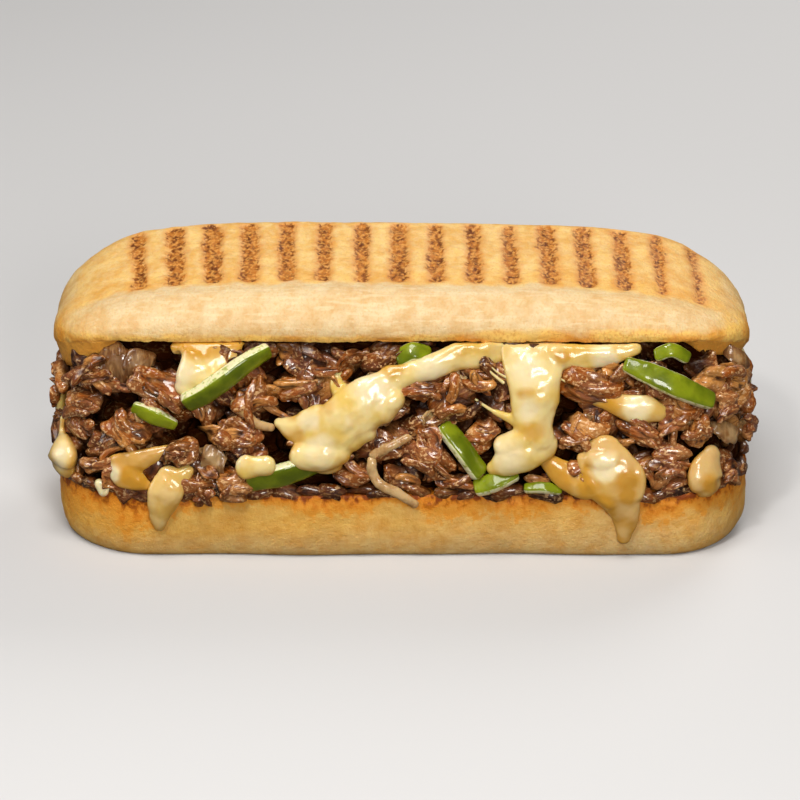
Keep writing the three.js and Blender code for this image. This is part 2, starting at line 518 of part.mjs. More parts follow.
// Materials, by what each piece is.
const material = (color, roughness) => new THREE.MeshStandardMaterial({ color, roughness, metalness: 0 });
const crust = material(0xe9bd70, 0.62);
const beefBrown = material(0x6e4127, 0.38);
const pepperGreen = material(0x5f7d14, 0.25);
const cheeseYellow = material(0xf0d894, 0.3);
const onionPale = material(0xc9a56a, 0.3);

const panini = new THREE.Group();
function add(name, solid, look) {
  const mesh = new THREE.Mesh(geometryOf(largest(solid)), look);
  mesh.name = name;
  panini.add(mesh);
}

const keepClear = [solidOf(lowerHalf(GAP)), solidOf(upperHalf(GAP))];
const lessNeighbours = (solid) => wasm.Manifold.difference([solid, ...keepClear]);

add('bread_lower', solidOf(lowerHalf()), crust);
add('bread_upper', wasm.Manifold.difference([solidOf(upperHalf()), ...grillMarks()]), crust);

const toppings = [
  [PEPPER_STRIPS, pepperSolid, pepperGreen],
  [CHEESE_RUNS, cheeseSolid, cheeseYellow],
  [ONION_STRIPS, onionSolid, onionPale],
];
for (const [pieces, make, look] of toppings) {
  for (const [name, spec] of Object.entries(pieces)) {
    add(name, lessNeighbours(make(spec)), look);
    keepClear.push(make(spec, GAP));
  }
}
add('beef_heap', lessNeighbours(beefHeap()), beefBrown);

// The origin is the middle of the sandwich's bounding box, on the surface it lies on.
const box = new THREE.Box3().setFromObject(panini);
const middle = box.getCenter(new THREE.Vector3());
panini.position.set(-middle.x, -middle.y, 0);

export default panini;
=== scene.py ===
import functools
import json
import math
import bmesh
import bpy
import numpy as np
from mathutils import Euler, Matrix, Vector

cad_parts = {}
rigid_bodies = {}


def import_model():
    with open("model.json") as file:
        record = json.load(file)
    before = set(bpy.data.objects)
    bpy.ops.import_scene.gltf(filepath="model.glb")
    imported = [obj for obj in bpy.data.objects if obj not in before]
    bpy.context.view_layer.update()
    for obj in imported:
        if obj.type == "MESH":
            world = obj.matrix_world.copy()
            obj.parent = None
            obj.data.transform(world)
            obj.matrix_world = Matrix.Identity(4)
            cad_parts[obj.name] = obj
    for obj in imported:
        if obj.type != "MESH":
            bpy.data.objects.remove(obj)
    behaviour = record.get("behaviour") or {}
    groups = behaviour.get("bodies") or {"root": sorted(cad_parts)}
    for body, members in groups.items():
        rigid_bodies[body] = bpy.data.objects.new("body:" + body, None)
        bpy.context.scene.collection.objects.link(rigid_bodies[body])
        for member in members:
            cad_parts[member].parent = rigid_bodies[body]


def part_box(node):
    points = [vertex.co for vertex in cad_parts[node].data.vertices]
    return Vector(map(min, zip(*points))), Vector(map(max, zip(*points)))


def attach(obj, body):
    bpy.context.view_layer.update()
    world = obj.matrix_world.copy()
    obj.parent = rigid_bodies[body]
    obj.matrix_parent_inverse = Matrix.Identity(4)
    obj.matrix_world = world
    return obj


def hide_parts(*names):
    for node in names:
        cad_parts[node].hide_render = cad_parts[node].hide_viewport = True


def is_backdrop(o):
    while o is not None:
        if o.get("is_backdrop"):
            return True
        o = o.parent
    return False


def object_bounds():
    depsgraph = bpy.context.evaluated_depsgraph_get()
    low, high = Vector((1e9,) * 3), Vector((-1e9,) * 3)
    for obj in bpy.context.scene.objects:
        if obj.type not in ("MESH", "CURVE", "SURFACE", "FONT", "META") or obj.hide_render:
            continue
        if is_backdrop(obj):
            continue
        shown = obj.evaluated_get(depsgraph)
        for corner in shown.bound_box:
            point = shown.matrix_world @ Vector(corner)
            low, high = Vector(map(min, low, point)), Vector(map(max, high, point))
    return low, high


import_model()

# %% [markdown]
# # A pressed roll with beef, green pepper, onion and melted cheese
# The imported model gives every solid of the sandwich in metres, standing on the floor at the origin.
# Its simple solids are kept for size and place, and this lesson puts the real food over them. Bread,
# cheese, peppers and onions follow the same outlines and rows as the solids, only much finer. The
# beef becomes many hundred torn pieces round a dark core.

cad_bounds = [list(corner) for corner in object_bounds()]
print("solids from", cad_bounds[0], "to", cad_bounds[1])

MM = 0.001  # all shapes below are worked out in millimetres

# %% [markdown]
# ## Noise
# Bread, meat and cheese are uneven at every scale. Blender's Displace modifier could add that, but
# here the same unevenness also has to colour the pieces, so it is worked out as numbers first. The
# function gives smooth random hills in space: random values at the corners of a grid, blended.

# %% Smooth noise in space
GRID = np.random.default_rng(11).uniform(-1, 1, 8192)
PRIMES = np.array([73856093, 19349663, 83492791])  # scatter the grid's corners over the values
START, SEED_STEP = 57.3, 13.7  # where the noise is read, in hills, and how far seeds lie apart


def noise(points, size=1.0, seed=0):
    """Smooth noise from about -1 to 1. size is that of its hills, one number or one for each axis."""
    place = np.asarray(points) / size + START + seed * SEED_STEP
    cell = np.floor(place).astype(np.int64)
    part = place - cell
    part = part * part * (3 - 2 * part)
    total = 0
    for corner in range(8):
        offset = np.array([corner & 1, corner >> 1 & 1, corner >> 2])
        key = (cell + offset) @ PRIMES
        weight = np.prod(np.where(offset, part, 1 - part), axis=-1)
        total = total + weight * GRID[(key ^ (key >> 13)) % len(GRID)]
    return total


def rough(points, size, octaves=3, seed=0):
    """Noise with finer and weaker noise on top of it."""
    size = np.asarray(size)
    return sum(noise(points, size / 2 ** n, seed + n) / 2 ** n for n in range(octaves)) / 1.5


def billows(points, size, seed=0):
    """Round hills with narrow creases between them, from -1 to 1."""
    steepness = 5
    return np.minimum(steepness * np.abs(noise(points, size, seed)) - 1, 1)


def smooth(low, high, value):
    """0 below low, 1 above high, and a soft step between."""
    t = np.clip((value - low) / (high - low), 0, 1)
    return t * t * (3 - 2 * t)


print("noise at one point:", round(float(noise([[1, 2, 3]])[0]), 3))

# %% [markdown]
# ## The outline of the roll
# Seen from above, each half of the roll is a long rectangle with round corners. A place on it is
# given by its distance along the outline from the middle of the front, positive towards +X. All the
# food that shows between the halves lies on a face that blends from the one outline to the other.
# Heights such as those of the two cut faces are functions of x and y, so that rings can follow them.

# %% Outline and cut faces
CORNER = 30.0  # radius of the outline's corners
LOWER = np.array([113.6, 42.0, 1.1, -1.0])  # half length, half width, middle X and Y
UPPER = np.array([114.5, 41.0, 0.5, 9.0])
LOWER_CUT, UPPER_CUT = (22.5, 26.0), (72.4, 54.0)  # height of the cut face in front and at the back
EDGE_HEIGHT, EDGE_INSET = 11.0, (4.5, 3.5)  # the lower half's rounded bottom edge
DROOP = 7.5  # how far the upper half hangs down at the ends
SWELL = 0.7  # height of the crust's slow waves


def outline(shape, along):
    """Points of a half's outline, and the directions that face out of it there."""
    length, width, mid_x, mid_y = shape
    side, rest = np.where(along < 0, -1, 1), np.abs(along)
    flat_x, flat_y, quarter = length - CORNER, width - CORNER, math.pi / 2 * CORNER
    front = np.clip(rest - flat_x, 0, quarter) / CORNER
    end = np.clip(rest - flat_x - quarter, 0, 2 * flat_y)
    back = np.clip(rest - flat_x - quarter - 2 * flat_y, 0, quarter) / CORNER
    far = np.maximum(rest - flat_x - 2 * quarter - 2 * flat_y, 0)
    x = np.minimum(rest, flat_x) + CORNER * (np.sin(front) - 1 + np.cos(back)) - far
    y = -width + CORNER * (1 - np.cos(front) + np.sin(back)) + end
    turn = front + back
    return side * x + mid_x, y + mid_y, side * np.sin(turn), -np.cos(turn)


def perimeter(shape):
    """Length of a half's outline."""
    return 4 * (shape[0] + shape[1]) + (2 * math.pi - 8) * CORNER


def cut_height(shape, cut, y):
    """Height of a half's cut face, which slopes evenly from front to back."""
    return cut[0] + (cut[1] - cut[0]) * (y - shape[3] + shape[1]) / (2 * shape[1])


def lower_plane(x, y):
    """Height of the lower half's cut face."""
    return cut_height(LOWER, LOWER_CUT, y)


def upper_plane(x, y):
    """Height of the upper half's cut face, before its ends droop."""
    return cut_height(UPPER, UPPER_CUT, y)


def between(first, second, share):
    """The height that lies a share of the way from one height to another."""
    return lambda x, y: first(x, y) + (second(x, y) - first(x, y)) * share


def droop(x):
    """How far the upper half hangs down round its corners."""
    corner = np.clip((np.abs(x - UPPER[2]) - UPPER[0] + CORNER) / CORNER, 0, 1)
    return DROOP * (1 - np.sqrt(1 - corner * corner))


def swell(x, y):
    """The crust's slow waves along the outline, of two lengths that never quite repeat."""
    return SWELL * (0.6 * np.sin(x / 17 + y / 13) + 0.4 * np.sin(x / 7.3 - y / 11 + 2))


print("once round the roll:", round(perimeter(UPPER)), "mm")

# %% [markdown]
# ## Lofting the bread
# A half of the roll is a stack of closed rings joined by quads. Each ring is the outline moved in by
# an inset, with a height for each point, and rings that close the top are pulled to the middle
# line. A subdivided box would need its corners placed by hand; rings take the real sizes as they are.

# %% Rings and lofts
SPACING = 0.8  # between the points of the bread's rings
SPINE = 58.0  # half length of the line in the middle to which rings are pulled shut


def ring(shape, along, inset, height, swelling=1.0, pull=0.0):
    """One ring. inset is (x, y) or a function of x, and height is a function of x and y."""
    x, y, nx, ny = outline(shape, along)
    out = swelling * swell(x, y)
    inset_x, inset_y = inset(x) if callable(inset) else inset
    x, y = x - nx * (inset_x - out), y - ny * (inset_y - out)
    x = x + (np.clip(x, -SPINE, SPINE) - x) * pull
    y = y + (shape[3] - y) * pull
    return np.stack([x, y, height(x, y) + 0 * x], axis=1)


def loft(rings):
    """Points and quads of a stack of closed rings, whose first and last are pulled shut."""
    count, size = len(rings), len(rings[0])
    start = np.arange(count - 1)[:, None] * size
    here = np.arange(size)[None, :]
    after = (here + 1) % size
    corners = start + here, start + after, start + size + after, start + size + here
    quads = np.stack(corners, axis=-1)
    return np.concatenate(rings), quads.reshape(-1, 4)


def stations(shape, spacing):
    """Even distances once along a half's outline."""
    around = perimeter(shape)
    return np.linspace(-around / 2, around / 2, int(around / spacing), endpoint=False)


print("points in a ring of the bread:", len(stations(UPPER, SPACING)))

# %% [markdown]
# ## From numbers to Blender
# One helper turns points and faces into an object that rides on the sandwich's only body and stands
# for its solids. Masks, such as how toasted a point is, are stored with the mesh as attributes, so a
# material can read them wherever the piece goes.

# %% Make a piece
solid_low, solid_high = (np.array(corner[:2]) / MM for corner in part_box("bread_lower"))
drawn = ring(LOWER, stations(LOWER, 1.0), (0, 0), lambda x, y: 0)[:, :2]
SHIFT = np.append((solid_low + solid_high - drawn.min(axis=0) - drawn.max(axis=0)) / 2, 0)
MERGED = 0.00001  # points closer than this, in metres, become one where a ring is pulled shut
print("from the drawing to the solids, mm:", SHIFT.round(3))


def store(mesh, name, values):
    """Keeps one number, or one place, for each point of the mesh."""
    values = np.asarray(values, dtype=np.float32)
    kind, field = ("FLOAT", "value") if values.ndim == 1 else ("FLOAT_VECTOR", "vector")
    mesh.attributes.new(name, kind, "POINT").data.foreach_set(field, values.ravel())


def make_piece(name, points, faces, nodes, masks):
    """A closed piece of food from points in millimetres, with masks for its material."""
    mesh = bpy.data.meshes.new(name)
    mesh.from_pydata(((points + SHIFT) * MM).tolist(), [], faces.tolist())
    for mask_name, values in masks.items():
        store(mesh, mask_name, values)
    tidy = bmesh.new()
    tidy.from_mesh(mesh)
    bmesh.ops.remove_doubles(tidy, verts=tidy.verts, dist=MERGED)
    bmesh.ops.recalc_face_normals(tidy, faces=tidy.faces)
    tidy.to_mesh(mesh)
    tidy.free()
    mesh.shade_smooth()
    piece = bpy.data.objects.new(name, mesh)
    bpy.context.scene.collection.objects.link(piece)
    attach(piece, "root")
    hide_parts(*nodes)
    print(name, len(mesh.vertices), "points")
    return piece


def points_of(mesh):
    """A mesh's points in the drawing's millimetres, and its normals."""
    places, normals = np.empty(len(mesh.vertices) * 3), np.empty(len(mesh.vertices) * 3)
    mesh.vertices.foreach_get("co", places)
    mesh.vertex_normals.foreach_get("vector", normals)
    return places.reshape(-1, 3) / MM - SHIFT, normals.reshape(-1, 3)


def push(piece, relief):
    """Moves every point along its normal, by the millimetres that a function of the places gives."""
    places, normals = points_of(piece.data)
    moved = (places + normals * relief(places)[:, None] + SHIFT) * MM
    piece.data.vertices.foreach_set("co", moved.ravel())
    piece.data.update()


# %% [markdown]
# ## The camera
# The photo was taken with a long lens from about 25 degrees above the table, straight at the open
# side. The distance is a guess that fits the flat perspective.

# %% Camera
ELEVATION, DISTANCE, AIM = math.radians(25), 1.25, Vector((0, 0, 0.037))
LENS, SENSOR = 169.5, 36  # millimetres
camera = bpy.data.objects.new("camera", bpy.data.cameras.new("camera"))
camera.data.lens, camera.data.sensor_width = LENS, SENSOR
aim = AIM + Vector(SHIFT * MM)
camera.location = aim + DISTANCE * Vector((0, -math.cos(ELEVATION), math.sin(ELEVATION)))
camera.rotation_euler = (math.pi / 2 - ELEVATION, 0, 0)
bpy.context.scene.collection.objects.link(camera)
bpy.context.scene.camera = camera
print("camera at", [round(part, 3) for part in camera.location])

# %% [markdown]
# ## Floor and studio light
# Food is lit softly, mostly from above and a little from the side, so that fat and melted cheese
# get broad shiny patches and the pockets in the filling stay dark. One large lamp does most of it.
# A small one and a low one in front put glints on the wet filling, one picks out the edges from
# behind, one lights the left end, and the world fills the shadows. The floor looks pale, but gives
# back only little light, or every wet spot of the filling would mirror it.

# %% Floor
FLOOR_REACH = 3  # metres
FLOOR_COLOUR, FLOOR_BOUNCE = (0.66, 0.665, 0.685, 1), (0.12, 0.115, 0.11, 1)


def plain_floor():
    """A large matt floor with one colour for the camera and a darker one for all other light."""
    mesh = bpy.data.meshes.new("floor")
    corners = [(FLOOR_REACH * x, FLOOR_REACH * y, 0) for x, y in ((-1, -1), (1, -1), (1, 1), (-1, 1))]
    mesh.from_pydata(corners, [], [(0, 1, 2, 3)])
    floor = bpy.data.objects.new("floor", mesh)
    material = bpy.data.materials.new("floor")
    material.use_nodes = True
    tree, shader = material.node_tree, material.node_tree.nodes["Principled BSDF"]
    seen = tree.nodes.new("ShaderNodeLightPath").outputs["Is Camera Ray"]
    paint = tree.nodes.new("ShaderNodeMix")
    paint.data_type = "RGBA"
    paint.inputs[6].default_value, paint.inputs[7].default_value = FLOOR_BOUNCE, FLOOR_COLOUR
    tree.links.new(seen, paint.inputs[0])
    tree.links.new(paint.outputs[2], shader.inputs["Base Color"])
    shader.inputs["Roughness"].default_value = 1
    shader.inputs["Specular IOR Level"].default_value = 0
    mesh.materials.append(material)
    bpy.context.scene.collection.objects.link(floor)
    floor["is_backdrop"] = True
    print("floor", 2 * FLOOR_REACH, "metres wide")


plain_floor()

# %% Lamps and world
LAMPS = {  # place and diameter in metres, and power in watts
    "key": ((-0.08, -0.42, 1.25), 0.6, 9.2),
    "glint": ((-0.3, -0.75, 1.05), 0.14, 3.6),
    "front": ((0.28, -1.15, 0.55), 0.4, 7.5),
    "back": ((0.5, 0.8, 0.8), 0.6, 5),
    "left": ((-1.0, -0.25, 0.45), 0.5, 2.4),
}
LAMP_COLOUR, LAMP_TARGET = (1, 0.965, 0.91), Vector((0, 0, 0.04))
WORLD_COLOUR, WORLD_STRENGTH = (1, 0.99, 0.97, 1), 0.07


def lamp(name, place, size, power):
    """A round lamp that points at the middle of the sandwich."""
    light = bpy.data.lights.new(name, "AREA")
    light.shape, light.size, light.energy, light.color = "DISK", size, power, LAMP_COLOUR
    holder = bpy.data.objects.new(name, light)
    holder.location = place
    holder.rotation_euler = (LAMP_TARGET - Vector(place)).to_track_quat("-Z", "Y").to_euler()
    bpy.context.scene.collection.objects.link(holder)
    print("lamp", name, "with", power, "watts")


for name, settings in LAMPS.items():
    lamp(name, *settings)
world = bpy.data.worlds.new("studio")
world.use_nodes = True
world.node_tree.nodes["Background"].inputs["Color"].default_value = WORLD_COLOUR
world.node_tree.nodes["Background"].inputs["Strength"].default_value = WORLD_STRENGTH
bpy.context.scene.world = world
bpy.context.scene.view_settings.view_transform = "Standard"

# %% [markdown]
# ## Writing materials in few words
# Node trees are long to write out. These helpers add a node, set its values and link its inputs in
# one line, so that a material below reads like a recipe: which colour, where, and how strongly.

# %% Shader helpers
def node(tree, kind, inputs=None, **settings):
    """A new node. Inputs are sockets to link or plain values, by the socket's name or number."""
    made = tree.nodes.new("ShaderNode" + kind)
    for name, value in settings.items():
        setattr(made, name, value)
    for name, value in (inputs or {}).items():
        if isinstance(value, bpy.types.NodeSocket):
            tree.links.new(value, made.inputs[name])
        else:
            made.inputs[name].default_value = value
    return made


def lit(part):
    """The light in one part of a colour, 0 to 255, by the curve that pictures are stored with."""
    return ((part / 255 + 0.055) / 1.055) ** 2.4 if part > 10 else part / 3295


def colour(red, green, blue):
    """A colour as a picture shows it, 0 to 255, in the light values that shaders use."""
    return lit(red), lit(green), lit(blue), 1


def mix(tree, share, first, second, blend="MIX"):
    """The first colour where share is 0 and the second where it is 1."""
    made = node(tree, "Mix", {0: share, 6: first, 7: second}, data_type="RGBA", blend_type=blend)
    return made.outputs[2]


def reckon(tree, operation, first, second):
    """A sum, product or other result of two numbers."""
    return node(tree, "Math", {0: first, 1: second}, operation=operation).outputs[0]


def tint(tree, base, share, strength, *parts):
    """Lays a colour, given as 0 to 255, over the base: by a share, and never more than the strength."""
    return mix(tree, reckon(tree, "MULTIPLY", share, strength), base, colour(*parts))


def step(tree, value, low, high):
    """0 where value is under low, 1 over high."""
    return node(tree, "MapRange", {"Value": value, "From Min": low, "From Max": high},
                interpolation_type="SMOOTHSTEP").outputs["Result"]


def mask(tree, name):
    """A mask that is stored with the mesh."""
    return node(tree, "Attribute", attribute_name=name).outputs["Fac"]


# %% [markdown]
# ### Three effects that the food shares
# Everything here is mottled, everything has a fine relief, and meat has fibres. Each effect is a node
# group with named inputs: "mottle" gives soft blotches of a chosen size, "grain" gives the height of a
# fine relief with small pits, and "fibres" the height of streaks that run along a torn piece. A
# material sets its own sizes, in millimetres.

# %% Node groups
def new_group(name, inputs, outputs):
    """An empty node group with numbers as its inputs and outputs, and its two end nodes."""
    group = bpy.data.node_groups.new(name, "ShaderNodeTree")
    for label, value in inputs.items():
        socket = group.interface.new_socket(label, in_out="INPUT", socket_type="NodeSocketFloat")
        socket.default_value = value
    for label in outputs:
        group.interface.new_socket(label, in_out="OUTPUT", socket_type="NodeSocketFloat")
    return group, group.nodes.new("NodeGroupInput").outputs, group.nodes.new("NodeGroupOutput").inputs


def counted(tree, given):
    """Places counted in hills of the given size, and drawn out along X by the given stretch."""
    place = node(tree, "TexCoord").outputs["Object"]
    shorter = reckon(tree, "DIVIDE", 1, given["Stretch"])
    by_axis = node(tree, "CombineXYZ", {0: shorter, 1: 1, 2: 1}).outputs[0]
    place = node(tree, "VectorMath", {0: place, 1: by_axis}, operation="MULTIPLY").outputs[0]
    per_metre = reckon(tree, "DIVIDE", 1 / MM, given["Size"])
    return node(tree, "VectorMath", {0: place, "Scale": per_metre}, operation="SCALE").outputs[0]


def make_mottle():
    """Soft blotches, from noise between the values Low and High."""
    inputs = {"Size": 5, "Stretch": 1, "Low": 0.35, "High": 0.65}
    group, given, result = new_group("mottle", inputs, ["Mask"])
    hills = node(group, "TexNoise", {"Vector": counted(group, given), "Scale": 1, "Detail": 3})
    group.links.new(step(group, hills.outputs["Fac"], given["Low"], given["High"]), result["Mask"])
    return group


def make_grain():
    """Small hills with round pits of a chosen depth."""
    group, given, result = new_group("grain", {"Size": 1, "Stretch": 1, "Pits": 0.3}, ["Height"])
    place = counted(group, given)
    hills = node(group, "TexNoise", {"Vector": place, "Scale": 1, "Detail": 4, "Roughness": 0.6})
    cells = node(group, "TexVoronoi", {"Vector": place, "Scale": 1.3}, feature="SMOOTH_F1")
    pits = reckon(group, "MULTIPLY", step(group, cells.outputs["Distance"], 0.0, 0.45), given["Pits"])
    group.links.new(reckon(group, "ADD", hills.outputs["Fac"], pits), result["Height"])
    return group


def make_fibres():
    """Streaks along a piece's own length, read from the place stored as "thread"."""
    group, given, result = new_group("fibres", {"Length": 6, "Width": 0.6}, ["Height"])
    thread = node(group, "Attribute", attribute_name="thread").outputs["Vector"]
    parts = node(group, "SeparateXYZ", {0: thread}).outputs
    across = [reckon(group, "DIVIDE", parts[axis], given["Width"]) for axis in (1, 2)]
    along = reckon(group, "DIVIDE", parts[0], given["Length"])
    place = node(group, "CombineXYZ", {0: along, 1: across[0], 2: across[1]}).outputs[0]
    inputs = {"Vector": place, "Scale": 1, "Detail": 3, "Roughness": 0.6, "Distortion": 0.4}
    streaks = node(group, "TexNoise", inputs)
    group.links.new(streaks.outputs["Fac"], result["Height"])
    return group


GROUPS = {"mottle": make_mottle(), "grain": make_grain(), "fibres": make_fibres()}
print("node groups:", ", ".join(GROUPS))

# %% Using the groups in a material
def effect(tree, name, **inputs):
    """The only output of one of the groups."""
    return node(tree, "Group", inputs, node_tree=GROUPS[name]).outputs[0]


def mottle(tree, size, low, high, stretch=1):
    """Soft blotches of a size in millimetres, drawn out along X by the stretch."""
    return effect(tree, "mottle", Size=size, Low=low, High=high, Stretch=stretch)


def bump(tree, height, depth, under=None):
    """A normal with a relief of that depth in millimetres, on top of another normal if given."""
    made = node(tree, "Bump", {"Height": height, "Distance": depth * MM, "Strength": 1.0})
    if under is not None:
        tree.links.new(under, made.inputs["Normal"])
    return made.outputs["Normal"]


def grained(tree, size, pits, depth, under=None):
    """A normal with a fine grain of a size and depth in millimetres."""
    return bump(tree, effect(tree, "grain", Size=size, Pits=pits), depth, under)


def finish_shader(tree, shader, base, normal, **values):
    """Links colour and normal, and sets plain values by their socket's name with _ for a space."""
    tree.links.new(base, shader["Base Color"])
    tree.links.new(normal, shader["Normal"])
    for name, value in values.items():
        shader[name.replace("_", " ")].default_value = value


def dress(name, look, pieces):
    """Puts a new material on pieces. look gets its tree and the inputs of its Principled shader."""
    material = bpy.data.materials.new(name)
    material.use_nodes = True
    look(material.node_tree, material.node_tree.nodes["Principled BSDF"].inputs)
    for piece in pieces:
        piece.data.materials.append(material)
    print(name, "has", len(material.node_tree.nodes), "nodes and covers", len(pieces), "pieces")


# %% [markdown]
# ## The lower half of the roll
# A flat base, a rounded bottom edge, an upright crust and a cut face that the filling hides. Grease
# from the filling has soaked the crust under the cut, so a mask for that stain is stored with it.
# The cut edge is ragged: the rings near it get extra noise.

# %% Lower half
CUT_RINGS = ((2, 0), (4, 0), (8, 0), (12, 0.3), (12, 1))  # inset and pull of the cut face's rings
CUT_EDGE = 24  # mean height of the cut edge
UNMARKED = 9.0  # so far, in millimetres, that nothing of a grill mark shows


def lower_rings(along):
    """Rings from the middle of the base out, round the bottom edge, up the side and over the cut."""
    rings = [ring(LOWER, along, EDGE_INSET, lambda x, y: 0, pull=pull) for pull in (1, 0.6, 0.2, 0)]
    for turn in np.radians(np.linspace(80, 0, 11)):
        inset = [width * (1 - math.cos(turn)) for width in EDGE_INSET]
        rings.append(ring(LOWER, along, inset, lambda x, y: EDGE_HEIGHT * (1 - math.sin(turn))))
    for share in np.linspace(0, 1, 16)[1:]:
        inset = 0.8 * share ** 3
        level = between(lambda x, y: EDGE_HEIGHT, lower_plane, share)
        rings.append(ring(LOWER, along, (inset, inset), level))
    for inset, pull in CUT_RINGS:
        rings.append(ring(LOWER, along, (inset, inset), lower_plane, pull=pull))
    return rings


# %% Masks and relief of the lower half
def lower_masks(points, cut):
    """What the material has to know of the lower half. cut is 1 on the cut face."""
    x, y, z = points.T
    below = lower_plane(x, y) - z  # how far under the cut
    soak = 7.5 + 9 * rough(points, (14, 14, 60), 4, 4)  # how far down the grease has run
    soak += 4 * smooth(-20, -70, x) - 2 * smooth(60, 20, np.abs(x + 20))
    tan = 0.9 + 0.35 * smooth(0, -110, x) - 0.35 * smooth(20, 90, x) + 0.2 * rough(points, 20)
    return {
        "toast": 0.5 + 0.35 * smooth(75, 112, np.abs(x)) + 0.15 * rough(points, 12),  # more at the ends
        "stain": np.clip(1 - below / np.maximum(soak, 1.5), 0, 1) * (1 - cut) + cut,
        "rim": smooth(2.2, 0.2, below) * (1 - cut),  # a narrow baked edge
        "crumb": cut,
        "tan": tan * (0.5 + 0.5 * smooth(3, 14, z)),  # paler at the bottom
        "mark": np.full(len(points), UNMARKED),
    }


def lower_relief(places):
    """Dents all over but on the flat base, and more noise near the cut edge."""
    upright = smooth(0.2, 3, places[:, 2])
    dents = 0.4 * rough(places, 9) + 0.16 * rough(places, (4, 2.4, 2.4), 3, 7)
    from_edge = np.abs(places[:, 2] - CUT_EDGE) - 2
    ragged = 0.5 * rough(places, 2.2, 3, 3) * smooth(5, 0, from_edge)
    return (dents + ragged) * upright


def make_lower():
    """The lower half of the roll."""
    along = stations(LOWER, SPACING)
    points, faces = loft(lower_rings(along))
    cut = np.zeros(len(points))
    cut[-len(CUT_RINGS) * len(along):] = 1
    half = make_piece("roll_lower", points, faces, ["bread_lower"], lower_masks(points, cut))
    push(half, lower_relief)
    return half


roll_lower = make_lower()

# %% [markdown]
# ## The upper half, pressed by the grill
# The grill's ridges press lines into the crown and char them. Each line is a slot with round ends,
# and the distance to the nearest slot, with noise on it, is both a groove in the mesh and a mask for
# the char. Between the ridges the hot grill toasts the flat crown, while the round side stays pale.

# %% Grill marks
FIRST_MARK, MARK_PITCH, MARK_REACH, MARK_MIDDLE = -86.2, 12.26, 24.7, 12.3
FAN_START, FAN = -20, math.radians(0.06)  # to the left of the start, each mm turns a mark further
MARK_WIDTHS = (3.6, 5.6, 5.8, 5.8, 5, 4.8, 4.4, 5.8, 5, 4.8, 4.4, 5.2, 5.2, 4.6, 3.4, 2.8)


def mark_distance(points):
    """Millimetres outside the nearest mark of the grill, negative inside it."""
    x, y, z = points.T
    nearest = np.full(len(points), UNMARKED)
    for number, width in enumerate(MARK_WIDTHS):
        middle = FIRST_MARK + MARK_PITCH * number
        fan = max(0, FAN_START - middle) * FAN
        across = (x - middle) * math.cos(fan) + (y - MARK_MIDDLE) * math.sin(fan)
        down = (y - MARK_MIDDLE) * math.cos(fan) - (x - middle) * math.sin(fan)
        radius = width / 2
        past = np.maximum(np.abs(down) - MARK_REACH + radius, 0)
        nearest = np.minimum(nearest, np.hypot(across, past) - radius)
    return np.where(z > 70, nearest, UNMARKED)


print(len(MARK_WIDTHS), "grill marks,", MARK_PITCH, "mm apart")

# %% Heights of the upper half
def crown(x, y):
    """Height of the crown, a little lower towards both ends."""
    return 85.1 - 0.009 * x - 3.3 * (np.abs(x) / 83) ** 4


def rim(x, y):
    """Height of the upper half's cut edge, which droops at the ends."""
    return upper_plane(x, y) - droop(x)


def hang(x):
    """How far the crumb hangs below the rim: a hair in front, and some millimetres at the ends."""
    return 0.3 + np.where(x < 0, 9, 5) * smooth(90, 99, np.abs(x))


def lip(x, y):
    """Height of the crumb's lower edge. It hangs less far down towards the back."""
    return rim(x, y) - hang(x) * (0.4 + 0.6 * smooth(38, 0, y))


print("rim in front and crown, mm:", float(rim(0, UPPER[3] - UPPER[1])), "and", float(crown(0, 0)))

# %% Rings of the upper half
SHOULDER_Y, RIM_INSET = 14.0, 0.5
WIDEST = 0.18  # where between rim and crown the side is widest


def shoulder(turn):
    """Insets of the round side, from upright at 0 to flat at 90 degrees."""
    tuck = 1 - math.cos(turn)
    return lambda x: (np.where(x < 0, 23, 26) * tuck ** 1.35, SHOULDER_Y * tuck)


def upper_rings(along):
    """Rings from the middle of the cut face out, up the side and over the crown, each with its turn:
    -2 on the cut, -1.5 on the crumb's edge, -1 to 0 under the widest place and 0 to 90 above it."""
    rings = []
    half_way = between(upper_plane, lip, 0.5)
    for inset, pull, level in ((12, 1, upper_plane), (12, 0.3, upper_plane), (12, 0, upper_plane),
                               (8, 0, half_way), (4, 0, lip), (3, 0, lip)):
        rings.append((ring(UPPER, along, (inset, inset), level, 0.4, pull), -2))
    for share in (0.25, 0.5, 0.75, 0.92, 0.98):
        inset = 3 - 2.5 * share
        rings.append((ring(UPPER, along, (inset, inset), between(lip, rim, share)), -1.5))
    for share in (0, 0.03, 0.08, 0.16, 0.3, 0.45, 0.6, 0.8, 1):
        inset = (1 - share) ** 2 * RIM_INSET
        level = between(rim, crown, WIDEST * share)
        rings.append((ring(UPPER, along, (inset, inset), level), -1 + share))
    for turn in np.radians(np.linspace(3, 90, 30)):
        level = between(rim, crown, WIDEST + (1 - WIDEST) * math.sin(turn))
        swelling = max(math.cos(turn), 0.2)
        rings.append((ring(UPPER, along, shoulder(turn), level, swelling), math.degrees(turn)))
    for pull in np.linspace(0, 1, 36)[1:]:
        rings.append((ring(UPPER, along, shoulder(math.pi / 2), crown, 0.2, pull), 90))
    return rings


print(len(upper_rings(stations(UPPER, SPACING))), "rings in the upper half")

